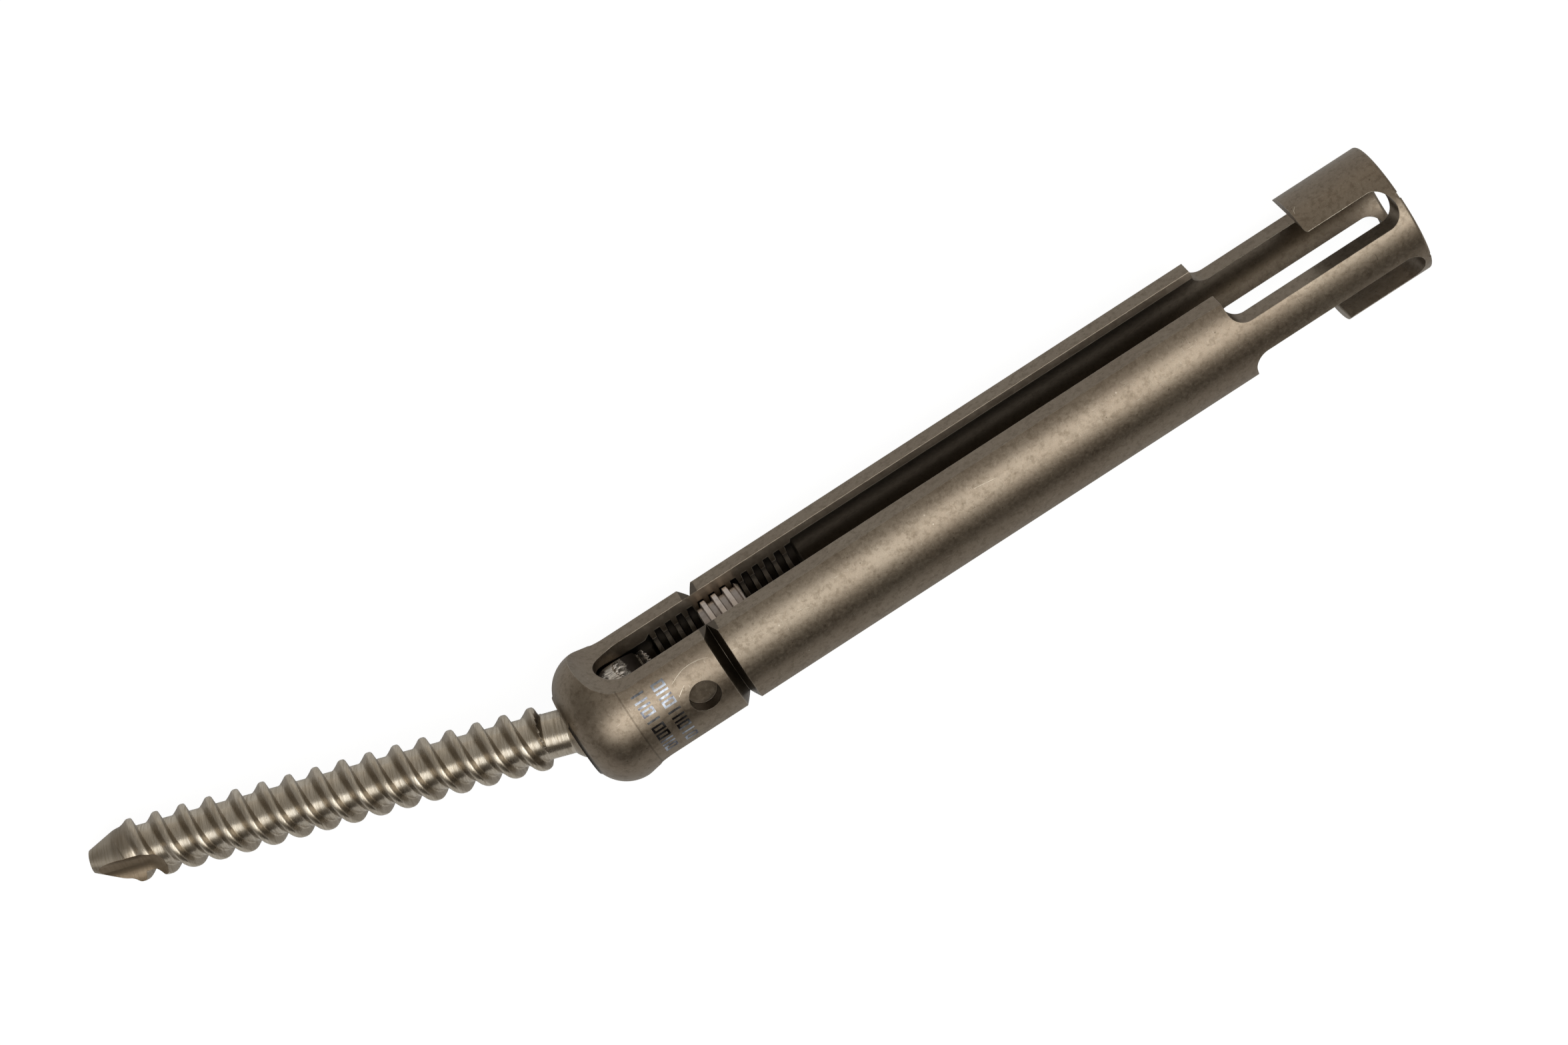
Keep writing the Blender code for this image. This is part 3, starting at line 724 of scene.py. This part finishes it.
def bare_titanium(name, tint, dulling, root_shade=0.0):
    """Bright machined metal with rings and scuffs, and painted shade in a thread's roots."""
    n = Nodes(name, BARE_ROUGHNESS, tint, HEAD_FRAME)
    rings = n.noise(1.0, 2.0, 0.6, (12.0, 0.2, 0.2))
    scuffs = n.noise(1.4, 2.5, 0.55)
    dull = tuple((1.0 - dulling) * level for level in tint)
    colour = n.mix(n.ramp(scuffs, 0.48, 0.70), tint, dull)
    if root_shade:
        radius = axis_place(n)[3]
        # Painted shade, deepest in the thread's roots
        in_root = n.rise(radius, PLUG_ROOT_RADIUS + 0.04, PLUG_CREST_RADIUS - 0.06, root_shade, 0.0)
        colour = n.mix(in_root, colour, THREAD_ROOT_SHADE_COLOUR)
    n.link(colour, "Base Color")
    n.link(n.ramp(scuffs, 0.3, 0.7, 0.24, 0.42), "Roughness")
    height = n.math("ADD", rings, n.times(scuffs, 0.5))
    n.link(n.bump(height, 0.12, 0.02, n.bevel(0.05, 4)), "Normal")
    return n.material


def clamped_titanium():
    """The saddle's metal: painted dark as shade inside the head, and torn bright along the rim where a rod
    was clamped.
    """
    n = Nodes("clamped_titanium", SADDLE_ROUGHNESS, SADDLE_COLOUR, HEAD_FRAME)
    x = n.add("ShaderNodeSeparateXYZ", {"Vector": n.place}).outputs["X"]
    ragged = n.times(n.math("SUBTRACT", n.noise(1.3, 3.0, 0.6), 0.5), TORN_RAGGED * MM)
    along = n.math("ADD", x, ragged)
    torn = n.times(n.rise(along, TORN_START, TORN_START + 0.25), n.fall(along, TORN_END - 0.2, TORN_END))
    rim = n.rise(x, SADDLE_TOP - TORN_RIM - 0.02, SADDLE_TOP - TORN_RIM + 0.02)
    line = n.fall(n.distance(x, SADDLE_TOP - TORN_LINE), 0.08, 0.12)
    bright = n.math("MAXIMUM", torn, n.math("MAXIMUM", rim, line))
    streaks = n.noise(1.0, 3.0, 0.7, (1.2, 7.0, 7.0))
    silver = n.mix(n.ramp(streaks, 0.42, 0.60), TORN_PALE, TORN_DARK)
    # Painted shade everywhere but on the torn bright bands
    n.link(n.mix(bright, SADDLE_SHADE, silver), "Base Color")
    n.link(n.ramp(streaks, 0.3, 0.7, 0.28, 0.42), "Roughness")
    n.link(n.bump(streaks, 0.5, 0.05), "Normal")
    return n.material


def etched_oxide():
    """Smooth dark oxide of a laser mark: black in shade, pale where it mirrors the light."""
    n = Nodes("etched_oxide", OXIDE_ROUGHNESS, OXIDE_COLOUR, HEAD_FRAME)
    patches = n.noise(0.9, 3.0, 0.6)
    n.link(n.mix(n.ramp(patches, 0.40, 0.58), DARK_OXIDE, PALE_OXIDE), "Base Color")
    n.link(n.ramp(patches, 0.3, 0.7, 0.12, 0.20), "Roughness")
    return n.material


# Head

def head_profile():
    bulb_centre = (BULB_WIDEST, BULB_RADIUS - BULB_ROUNDING)
    edge_x = UNDERSIDE + UNDERSIDE_EDGE_HEIGHT
    edge_angle = pi - asin(sqrt(1 - ((BULB_WIDEST - edge_x) / BULB_ROUNDING) ** 2))
    bulb = arc(bulb_centre, BULB_ROUNDING, edge_angle, pi / 2)
    underside = [(UNDERSIDE, RELIEF_RADIUS), (UNDERSIDE, bulb[0][1] - UNDERSIDE_EDGE_WIDTH)]
    body = [
        (BULB_TOP, BULB_RADIUS),
        (BULB_TOP + BULB_STEP_LENGTH, HEAD_RADIUS),
        (GROOVE_START, HEAD_RADIUS),
        (GROOVE_VALLEY, GROOVE_RADIUS),
        (GROOVE_END, HEAD_RADIUS),
    ]
    rounding_centre = (RING_END - RING_ROUNDING, HEAD_RADIUS - RING_ROUNDING)
    ring = arc(rounding_centre, RING_ROUNDING, pi / 2, 0.0, RING_ARC_STEP) + [
        (RING_END, TAB_BORE_RADIUS + RING_CHAMFER),
        (RING_END - RING_CHAMFER, TAB_BORE_RADIUS),
    ]
    bore = [
        (THREAD_BORE_END, TAB_BORE_RADIUS),
        (THREAD_BORE_END - (TAB_BORE_RADIUS - INNER_THREAD_RADIUS), INNER_THREAD_RADIUS),
        (THREAD_BORE_START, INNER_THREAD_RADIUS),
        (THREAD_BORE_START, POCKET_RADIUS),
        (sqrt(max(0.0, POCKET_RADIUS ** 2 - SEAT_RADIUS ** 2)), POCKET_RADIUS),
    ]
    relief_angle = atan2(sqrt(SEAT_RADIUS ** 2 - RELIEF_START ** 2), RELIEF_START)
    seat = arc((0.0, 0.0), SEAT_RADIUS, pi / 2, relief_angle)
    return underside + bulb + body + ring + bore + seat


def side_outline():
    past = HEAD_RADIUS + CUT_PAST
    depth_of_runout = BULB_RADIUS + SEAT_GAP - FLAT_HALF_WIDTH
    sweep = asin(1 - depth_of_runout / FLAT_RUNOUT_RADIUS)
    runout = arc((FLAT_START, FLAT_HALF_WIDTH + FLAT_RUNOUT_RADIUS), FLAT_RUNOUT_RADIUS,
                 -pi + sweep, -pi / 2)
    radius = WINDOW_CUTTER_RADIUS
    tab_corner = arc((TAB_END + radius, STRIP_HALF + radius), radius, pi, 3 * pi / 2)
    window_end = arc((WINDOW_END - radius, STRIP_HALF + radius), radius, -pi / 2, pi / 2)
    outline = [(runout[0][0], past)] + runout + [(TAB_END, FLAT_HALF_WIDTH)]
    outline += tab_corner + window_end
    rounding = FLAG_CORNER_RADIUS
    outline += arc((FLAG_START + rounding, FLAG_INNER + rounding), rounding, -pi / 2, -pi)
    outline += [(FLAG_START, past)]
    return outline


def slot_outline():
    end = (TAB_END + FLAG_START) / 2
    bottom = arc((SLOT_BOTTOM + SLOT_HALF, 0.0), SLOT_HALF, pi / 2, 3 * pi / 2)
    return [(end, SLOT_HALF)] + bottom + [(end, -SLOT_HALF)]


def plug_phase_start(low):
    """The place of a ridge's start nearest below low, on the set screw's own helix."""
    turns = ceil((PLUG_START - low) / PLUG_PITCH)
    return PLUG_START - turns * PLUG_PITCH


def inner_thread_tap():
    """A solid with the inner thread's grooves as its ridges, in mesh with the set screw."""
    low = plug_phase_start(THREAD_BORE_START)
    high = THREAD_BORE_END + PLUG_PITCH

    def radius_at(x, share):
        root = INNER_THREAD_RADIUS - TAP_INSET
        limit = root + max(0.0, min(x - low, high - x))
        return min(root + (THREAD_BORE_RADIUS - root) * share, limit)

    columns = helical_rows(low, high, low, PLUG_PITCH, 1, TAP_RIDGE, TAP_SEGMENTS, radius_at)
    return threaded_solid("inner_thread_tap", columns, TAP_SEGMENTS, [])


def ring_nick(angle):
    """A small notch in the ring's end edge."""
    middle = round_point(RING_END, HEAD_RADIUS, radians(angle)) / MM
    outward = Vector((0.0, middle.y, middle.z)).normalized()
    start = middle - outward * NICK_REACH_IN
    end = middle + outward * NICK_REACH_OUT
    return cylinder_between("nick", start, end, NICK_RADIUS, NICK_SEGMENTS)


def build_head(material):
    tube = turned_solid("receiver_visual", head_profile(), HEAD_SEGMENTS, True)
    head = new_object("receiver_visual", tube, HEAD_FRAME)
    past = HEAD_RADIUS + CUT_PAST
    outline = side_outline()
    cutters = [
        inner_thread_tap(),
        extruded_solid("side_left", outline, "xy", -past, past),
        extruded_solid("side_right", [(x, -y) for x, y in outline], "xy", -past, past),
        extruded_solid("rod_slot", slot_outline(), "xz", -past, past),
    ]
    for side in (1, -1):
        start = (DIMPLE_HEIGHT, 0.0, side * (HEAD_RADIUS - DIMPLE_DEPTH))
        end = (DIMPLE_HEIGHT, 0.0, side * past)
        cutters.append(cylinder_between("dimple", start, end, DIMPLE_RADIUS, DIMPLE_SEGMENTS))
    for angle in NICK_ANGLES:
        cutters.append(ring_nick(angle))
    cut_all(head, cutters)
    finish_piece(head, "receiver", "head", material)


# Marks: two rows of plain boxes and bars, each row as (x, first angle in degrees)

MARK_ROWS = ((7.60, 57.5), (5.35, 55.0))
MARK_HEIGHT = 1.40
MARK_WIDTH = 0.78
MARK_STROKE = 0.23
MARK_STEP_ANGLE = 8.2
MARK_COUNT = 8
MARK_LIFT = 0.010
MARK_FACET = 0.2
MARK_SHIFT = 3
MARK_SHAPES = ("box", "bars", "box", "bar", "bars", "box", "bar", "box")


def mark_patch(shape, left, right, low, high):
    """A thin patch that follows the head's round outside, from one arc length to another."""
    steps = max(1, ceil((right - left) / MARK_FACET))
    rows = []
    for i in range(steps + 1):
        angle = (left + (right - left) * i / steps) / HEAD_RADIUS
        rows.append([shape.verts.new(round_point(x, HEAD_RADIUS + MARK_LIFT, angle)) for x in (low, high)])
    for first, second in zip(rows, rows[1:]):
        shape.faces.new((first[0], first[1], second[1], second[0]))


def mark_strokes(kind):
    """Strokes (left, right, low, high) in millimetres from the mark's lower left corner."""
    wide, tall, thin = MARK_WIDTH, MARK_HEIGHT, MARK_STROKE
    middle = (wide - thin) / 2
    left = (0, thin, 0, tall)
    right = (wide - thin, wide, 0, tall)
    top = (thin, wide - thin, tall - thin, tall)
    bottom = (thin, wide - thin, 0, thin)
    return {
        "box": [left, right, top, bottom],
        "bars": [left, right],
        "bar": [(middle, middle + thin, 0, tall)],
    }[kind]


def build_marks(material):
    shape = bmesh.new()
    for row, (middle, first_angle) in enumerate(MARK_ROWS):
        for i in range(MARK_COUNT):
            kind = MARK_SHAPES[(i + MARK_SHIFT * row) % len(MARK_SHAPES)]
            start = radians(first_angle + MARK_STEP_ANGLE * i) * HEAD_RADIUS
            for left, right, low, high in mark_strokes(kind):
                base = middle - MARK_HEIGHT / 2
                mark_patch(shape, start + left, start + right, base + low, base + high)
    marks = new_object("plain_marks", mesh_from_bmesh("plain_marks", shape), HEAD_FRAME)
    finish_piece(marks, "receiver", None, material)


# Scratches: hairlines on the head's outside, as (x, angle in degrees) points

SCRATCH_WIDTH = 0.05
SCRATCH_LIFT = 0.006
SCRATCH_END_SHARE = 0.35
BRIGHT_SCRATCHES = (
    ((8.8, 66.0), (9.6, 63.0), (10.4, 60.8), (11.2, 60.2), (11.9, 60.5), (12.6, 61.8), (13.2, 63.6)),
    ((8.7, 78.0), (9.1, 75.4), (9.75, 72.0)),
    ((23.0, 71.0), (24.2, 74.0)),
    ((44.0, 66.0), (46.5, 68.5)),
    ((85.8, 11.2), (85.4, 15.0), (85.3, 19.0)),
    ((73.4, 115.0), (73.7, 117.0)),
)
DARK_SCRATCHES = (
    ((89.6, 83.7), (89.6, 88.0), (89.5, 93.0)),
    ((80.8, 79.3), (80.9, 84.0), (81.1, 89.0)),
    ((70.6, 84.0), (70.75, 85.2)),
)


def build_scratches(name, scratches, material):
    shape = bmesh.new()
    for line in scratches:
        row = []
        for i, (x, degrees_round) in enumerate(line):
            share = min(i, len(line) - 1 - i) / (len(line) - 1)
            half = SCRATCH_WIDTH * (SCRATCH_END_SHARE + share)
            angle = radians(degrees_round)
            radius = HEAD_RADIUS + SCRATCH_LIFT
            turn = half / HEAD_RADIUS
            row.append([shape.verts.new(round_point(x - half / 2, radius, angle - turn / 2)),
                        shape.verts.new(round_point(x + half / 2, radius, angle + turn / 2))])
        for first, second in zip(row, row[1:]):
            shape.faces.new((first[0], first[1], second[1], second[0]))
    lines = new_object(name, mesh_from_bmesh(name, shape), HEAD_FRAME)
    finish_piece(lines, "receiver", None, material)


# Shank

def ridge_radius(x, share):
    from_tip = x + SHANK_REACH
    cone = TIP_RADIUS + (BONE_THREAD_RADIUS - TIP_RADIUS) * from_tip / TIP_CONE_LENGTH
    blank = min(BONE_THREAD_RADIUS, cone)
    full = min(blank, CORE_RADIUS + THREAD_DEPTH * share)
    cut_share = min(1.0, max(0.0, (from_tip - TIP_THREAD_START) / TIP_THREAD_RISE))
    neck_limit = NECK_RADIUS + THREAD_NECK_SLOPE * max(0.0, -THREAD_NECK_END - x)
    return min(blank + (full - blank) * cut_share, neck_limit)


def ball_profile():
    meet = sqrt((BALL_RADIUS + NECK_FILLET) ** 2 - (NECK_RADIUS + NECK_FILLET) ** 2)
    fillet_centre = (-meet, NECK_RADIUS + NECK_FILLET)
    ball_angle = atan2(fillet_centre[1], fillet_centre[0])
    fillet = arc(fillet_centre, NECK_FILLET, -pi / 2, ball_angle - pi)
    top_angle = atan2(sqrt(BALL_RADIUS ** 2 - BALL_FLAT_HEIGHT ** 2), BALL_FLAT_HEIGHT)
    return fillet + arc((0.0, 0.0), BALL_RADIUS, ball_angle, top_angle)[1:]


def flute_cutters():
    cutters = []
    profile = [(-SHANK_REACH - CUT_PAST, 0.0), (-SHANK_REACH - CUT_PAST, FLUTE_CUTTER_RADIUS)]
    profile += arc((FLUTE_LENGTH - SHANK_REACH, 0.0), FLUTE_CUTTER_RADIUS, pi / 2, 0.0)
    for i in range(FLUTE_COUNT):
        angle = radians(FLUTE_FIRST_ANGLE + 360 * i / FLUTE_COUNT)
        outward = Vector((0.0, sin(angle), cos(angle))) * (FLUTE_FLOOR_RADIUS + FLUTE_CUTTER_RADIUS)
        flute = turned_solid("flute", profile, FLUTE_SEGMENTS, False)
        flute.transform(Matrix.Translation(outward * MM))
        cutters.append(flute)
    return cutters


def build_shank(material):
    low, high = -SHANK_REACH, -THREAD_NECK_END
    columns = helical_rows(low, high, low + THREAD_SHIFT, RIDGE_SPACING, THREAD_STARTS, BONE_RIDGE,
                           SHANK_SEGMENTS, ridge_radius)
    mesh = threaded_solid("shank_visual", columns, SHANK_SEGMENTS, ball_profile())
    shank = new_object("shank_visual", mesh, SHANK_FRAME)
    socket = hexagon_prism("ball_socket", BALL_SOCKET_ACROSS_FLATS,
                           BALL_FLAT_HEIGHT - BALL_SOCKET_DEPTH, BALL_FLAT_HEIGHT + CUT_PAST)
    cut_all(shank, flute_cutters() + [socket])
    finish_piece(shank, "bone_screw", "shank", material, SHANK_SHARP_ANGLE)


# Saddle and set screw

def build_saddle(material):
    cup_low = atan2(sqrt(SEAT_RADIUS ** 2 - SADDLE_BOTTOM ** 2), SADDLE_BOTTOM)
    cup_high = asin(SADDLE_HOLE_RADIUS / SEAT_RADIUS)
    collar = SADDLE_TOP - SADDLE_COLLAR_HEIGHT
    profile = arc((0.0, 0.0), SEAT_RADIUS, cup_high, cup_low)
    profile += [
        (SADDLE_BOTTOM, SADDLE_RADIUS),
        (collar - SADDLE_COLLAR_CUT, SADDLE_RADIUS),
        (collar, SADDLE_RADIUS - SADDLE_COLLAR_CUT),
        (SADDLE_TOP, SADDLE_RADIUS - SADDLE_COLLAR_CUT),
        (SADDLE_TOP, SADDLE_HOLE_RADIUS),
    ]
    ring = turned_solid("saddle_visual", profile, SADDLE_SEGMENTS, True)
    saddle = new_object("saddle_visual", ring, HEAD_FRAME)
    past = SADDLE_RADIUS + CUT_PAST
    bottom = arc((TROUGH_BOTTOM + TROUGH_RADIUS, 0.0), TROUGH_RADIUS, pi / 2, 3 * pi / 2)
    top = SADDLE_TOP + CUT_PAST
    outline = [(top, TROUGH_RADIUS)] + bottom + [(top, -TROUGH_RADIUS)]
    cut_all(saddle, [extruded_solid("trough", outline, "xz", -past, past)])
    finish_piece(saddle, "receiver", "saddle", material)


# Torn metal on the saddle: a fan of burrs on each rim of the trough, flakes along each arm's top;
# two values in a bracket are the least and the most of a random draw

BURR_COUNT = 11
BURR_SEED = 4
BURR_THICKNESS = 0.06
BURR_HALF_WIDTH = (0.10, 0.20)
BURR_HEIGHT = (0.5, 1.7)
BURR_HEIGHT_FALL = 0.35
BURR_OUTWARD = (-0.5, 0.15)
BURR_FOOT_DEPTH = 0.15
BURR_FOOT_INSET = 0.25
FAN_START = -0.7
FAN_WIDTH = 2.0
FAN_SPREAD = 1.25
FAN_SCATTER = (-0.15, 0.15)
FLAKE_COUNT = 8
FLAKE_START = 0.5
FLAKE_REACH = 1.65
FLAKE_HALF_WIDTH = (0.14, 0.28)
FLAKE_HEIGHT = (0.1, 0.6)
FLAKE_INWARD = (0.15, 0.75)
FLAKE_DRIFT = (0.0, 0.45)
FLAKE_FOOT_DEPTH = 0.5
FLAKE_FOOT_INSET = 0.12


def build_burrs(material):
    """The slivers left where a rod was clamped on the saddle and taken out again."""
    dice = random.Random(BURR_SEED)
    shape = bmesh.new()

    def sliver(points):
        a, b, c, d, tip = [shape.verts.new(Vector(point) * MM) for point in points]
        shape.faces.new((a, b, c, d))
        shape.faces.new((d, c, tip))

    def burr(side, z):
        rim_x = TROUGH_BOTTOM + TROUGH_RADIUS - sqrt(TROUGH_RADIUS ** 2 - z ** 2)
        rim_y = sqrt(SADDLE_RADIUS ** 2 - z ** 2)
        half = dice.uniform(*BURR_HALF_WIDTH)
        height = dice.uniform(*BURR_HEIGHT) * (1.0 - BURR_HEIGHT_FALL * abs(z))
        tip_z = FAN_SPREAD * z + dice.uniform(*FAN_SCATTER)
        outward = dice.uniform(*BURR_OUTWARD)
        foot_x = rim_x - BURR_FOOT_DEPTH
        foot_y = side * (rim_y - BURR_FOOT_INSET)
        middle_x = rim_x + height * 0.5
        middle_y = side * (rim_y + outward * 0.2)
        middle_z = (z + tip_z) / 2
        sliver([(foot_x, foot_y, z - half), (foot_x, foot_y, z + half),
                (middle_x, middle_y, middle_z + half), (middle_x, middle_y, middle_z - half),
                (rim_x + height, side * (rim_y + outward), tip_z)])

    def flake(arm, side, y):
        half = dice.uniform(*FLAKE_HALF_WIDTH)
        height = dice.uniform(*FLAKE_HEIGHT)
        inward = dice.uniform(*FLAKE_INWARD)
        drift = side * dice.uniform(*FLAKE_DRIFT)
        foot_x = SADDLE_TOP - FLAKE_FOOT_DEPTH
        foot_z = arm * (TROUGH_RADIUS + FLAKE_FOOT_INSET)
        middle_x = SADDLE_TOP + height * 0.3
        middle_y = y + drift * 0.5
        middle_z = arm * (TROUGH_RADIUS - 0.25 * inward)
        sliver([(foot_x, y - half, foot_z), (foot_x, y + half, foot_z),
                (middle_x, middle_y + half, middle_z), (middle_x, middle_y - half, middle_z),
                (SADDLE_TOP + height, y + drift, arm * (TROUGH_RADIUS - inward))])

    for side in (1, -1):
        for i in range(BURR_COUNT):
            burr(side, FAN_START + FAN_WIDTH * i / (BURR_COUNT - 1))
    for arm in (1, -1):
        for side in (1, -1):
            for i in range(FLAKE_COUNT):
                flake(arm, side, side * (FLAKE_START + FLAKE_REACH * i / (FLAKE_COUNT - 1)))
    burrs = new_object("saddle_burrs", mesh_from_bmesh("saddle_burrs", shape), HEAD_FRAME)
    thicken = burrs.modifiers.new("thickness", "SOLIDIFY")
    thicken.thickness = BURR_THICKNESS * MM
    finish_piece(burrs, "receiver", None, material)


def plug_radius(x, share):
    from_end = min(x - PLUG_START, PLUG_START + PLUG_LENGTH - x)
    limit = PLUG_ROOT_RADIUS + max(0.0, from_end)
    return min(PLUG_ROOT_RADIUS + (PLUG_CREST_RADIUS - PLUG_ROOT_RADIUS) * share, limit)


def build_set_screw(material):
    high = PLUG_START + PLUG_LENGTH
    columns = helical_rows(PLUG_START, high, PLUG_START, PLUG_PITCH, 1, PLUG_RIDGE,
                           PLUG_SEGMENTS, plug_radius)
    mesh = threaded_solid("set_screw_visual", columns, PLUG_SEGMENTS, [])
    plug = new_object("set_screw_visual", mesh, HEAD_FRAME)
    socket = hexagon_prism("plug_socket", PLUG_SOCKET_ACROSS_FLATS, high - PLUG_SOCKET_DEPTH, high + CUT_PAST)
    cut_all(plug, [socket])
    finish_piece(plug, "plug", "set_screw", material)


# Stage, lights and camera

FLOOR_SIZE = 20.0
FLOOR_WHITE = 0.60
FLOOR_ROUGHNESS = 0.9
FLOOR_GLOW = 1.19
FLOOR_GLOW_SHARE = 0.8
MIRRORED_GLOW_SHARE = 0.13

# Light of the studio dome, by angle from straight up towards the camera's lower side, in degrees:
# a wide soft wall, a bright softbox, a dark gap and the pale sweep of the backdrop
DOME_STRENGTH = 2.5
DOME_STOPS = (
    (-90, (0.20, 0.185, 0.165)),
    (-45, (0.155, 0.145, 0.13)),
    (0, (0.155, 0.145, 0.13)),
    (3, (0.10, 0.09, 0.075)),
    (8, (1.0, 0.985, 0.95)),
    (33, (1.0, 0.985, 0.95)),
    (44, (0.22, 0.20, 0.165)),
    (56, (0.03, 0.025, 0.02)),
    (82, (0.01, 0.008, 0.006)),
    (90, (0.06, 0.052, 0.042)),
)
DOME_TILT = 0.32
DOME_TILT_RANGE = 0.18
DOME_HALF_LENGTH = 0.42
DOME_FADE = 0.25
DOME_END_LEVEL = 0.18
DOME_END_COLOUR = (0.20, 0.185, 0.165)


def build_floor():
    shape = bmesh.new()
    bmesh.ops.create_grid(shape, x_segments=1, y_segments=1, size=FLOOR_SIZE / 2)
    mesh = bpy.data.meshes.new("floor")
    shape.to_mesh(mesh)
    shape.free()
    floor = new_object("floor", mesh, Matrix.Identity(4))
    n = Nodes("pale_floor", FLOOR_ROUGHNESS, (FLOOR_WHITE, FLOOR_WHITE, FLOOR_WHITE))
    n.shader.inputs["Metallic"].default_value = 0.0
    n.shader.inputs["Specular IOR Level"].default_value = 0.0
    glow = n.add("ShaderNodeEmission", {"Color": rgb(1, 1, 1), "Strength": FLOOR_GLOW})
    path = n.add("ShaderNodeLightPath")
    mirrored = n.math("MAXIMUM", path.outputs["Is Glossy Ray"], path.outputs["Is Transmission Ray"])
    amount = n.math("ADD", n.times(path.outputs["Is Camera Ray"], FLOOR_GLOW_SHARE),
                    n.times(mirrored, MIRRORED_GLOW_SHARE))
    blend = n.add("ShaderNodeMixShader", {0: amount, 1: n.shader.outputs[0], 2: glow.outputs[0]})
    out = n.tree.nodes["Material Output"]
    n.tree.links.new(blend.outputs[0], out.inputs["Surface"])
    mesh.materials.append(n.material)


def build_light():
    """A studio dome whose brightness depends on the direction, so that round metal shows its bands."""
    world = bpy.data.worlds.new("studio")
    bpy.context.scene.world = world
    world.use_nodes = True
    tree = world.node_tree

    def add(kind, inputs=(), **settings):
        return add_node(tree, kind, inputs, **settings)

    direction = add("ShaderNodeSeparateXYZ", {"Vector": add("ShaderNodeTexCoord").outputs["Generated"]})
    towards_camera_side = add("ShaderNodeMath", {0: direction.outputs["Y"], 1: -1.0}, operation="MULTIPLY")
    angle = add("ShaderNodeMath", {0: towards_camera_side.outputs[0], 1: direction.outputs["Z"]},
                operation="ARCTAN2")
    place = add("ShaderNodeMapRange", {"Value": angle.outputs[0], "From Min": -pi / 2, "From Max": pi / 2})
    ramp = add("ShaderNodeValToRGB", {"Fac": place.outputs["Result"]})
    stops = ramp.color_ramp.elements
    while len(stops) < len(DOME_STOPS):
        stops.new(0.5)
    for stop, (degrees_from_up, colour) in zip(stops, DOME_STOPS):
        stop.position = (degrees_from_up + 90) / 180
        stop.color = (*colour, 1.0)
    sideways = add("ShaderNodeMath", {0: direction.outputs["X"]}, operation="ABSOLUTE")
    length = add("ShaderNodeMapRange", {
        "Value": sideways.outputs[0], "From Min": DOME_HALF_LENGTH, "From Max": DOME_HALF_LENGTH + DOME_FADE,
        "To Min": DOME_STRENGTH, "To Max": DOME_STRENGTH * DOME_END_LEVEL,
    }, interpolation_type="SMOOTHSTEP")
    towards_ring = add("ShaderNodeMapRange", {
        "Value": direction.outputs["X"], "From Min": -DOME_TILT_RANGE, "From Max": DOME_TILT_RANGE,
        "To Min": 1.0 - DOME_TILT, "To Max": 1.0 + DOME_TILT,
    })
    strength = add("ShaderNodeMath", {0: length.outputs["Result"], 1: towards_ring.outputs["Result"]},
                   operation="MULTIPLY")
    background = tree.nodes["Background"]
    tree.links.new(ramp.outputs["Color"], background.inputs["Color"])
    tree.links.new(strength.outputs["Value"], background.inputs["Strength"])
    end_share = add("ShaderNodeMapRange", {
        "Value": sideways.outputs[0], "From Min": DOME_HALF_LENGTH, "From Max": DOME_HALF_LENGTH + DOME_FADE,
    }, interpolation_type="SMOOTHSTEP")
    end_light = add("ShaderNodeBackground", {
        "Color": rgb(*DOME_END_COLOUR), "Strength": end_share.outputs["Result"],
    })
    both = add("ShaderNodeAddShader", {0: background.outputs[0], 1: end_light.outputs[0]})
    tree.links.new(both.outputs[0], tree.nodes["World Output"].inputs["Surface"])


def build_camera():
    """Looks straight down, turned so that the head's axis lies as in the photograph."""
    angle = radians(HEAD_AXIS_ANGLE)
    right = Vector((cos(angle), -sin(angle), 0.0))
    up = Vector((sin(angle), cos(angle), 0.0))
    off_x = (IMAGE_WIDTH / 2 - BALL_PIXEL[0]) / PIXELS_PER_MM * MM
    off_y = (BALL_PIXEL[1] - IMAGE_HEIGHT / 2) / PIXELS_PER_MM * MM
    place = BALL_CENTRE + right * off_x + up * off_y + Vector((0.0, 0.0, CAMERA_DISTANCE * MM))
    data = bpy.data.cameras.new("camera")
    data.sensor_width = SENSOR_WIDTH
    data.lens = CAMERA_DISTANCE * PIXELS_PER_MM / IMAGE_WIDTH * SENSOR_WIDTH
    data.clip_start = CLIP_START
    camera = bpy.data.objects.new("camera", data)
    bpy.context.scene.collection.objects.link(camera)
    turn = Matrix((right, up, Vector((0.0, 0.0, 1.0)))).transposed()
    camera.matrix_world = Matrix.Translation(place) @ turn.to_4x4()
    bpy.context.scene.camera = camera


bpy.context.scene.view_settings.view_transform = "Standard"
build_camera()
build_floor()
build_light()
build_head(blasted_titanium())
build_marks(etched_oxide())
build_scratches("bright_scratches", BRIGHT_SCRATCHES,
                bare_titanium("scratched_titanium", BRIGHT_SCRATCH_COLOUR, BARE_DULLING))
build_scratches("dark_scratches", DARK_SCRATCHES,
                bare_titanium("stained_titanium", DARK_SCRATCH_COLOUR, BARE_DULLING))
build_shank(turned_titanium())
build_saddle(clamped_titanium())
# Torn metal with painted light: the burrs' colour is raised to look lit in the bore's shade
build_burrs(bare_titanium("torn_and_lit_titanium", BURR_COLOUR_AND_LIGHT, BURR_DULLING))
build_set_screw(bare_titanium("bare_titanium_plug", PLUG_COLOUR, BARE_DULLING, PLUG_ROOT_SHADE_AMOUNT))
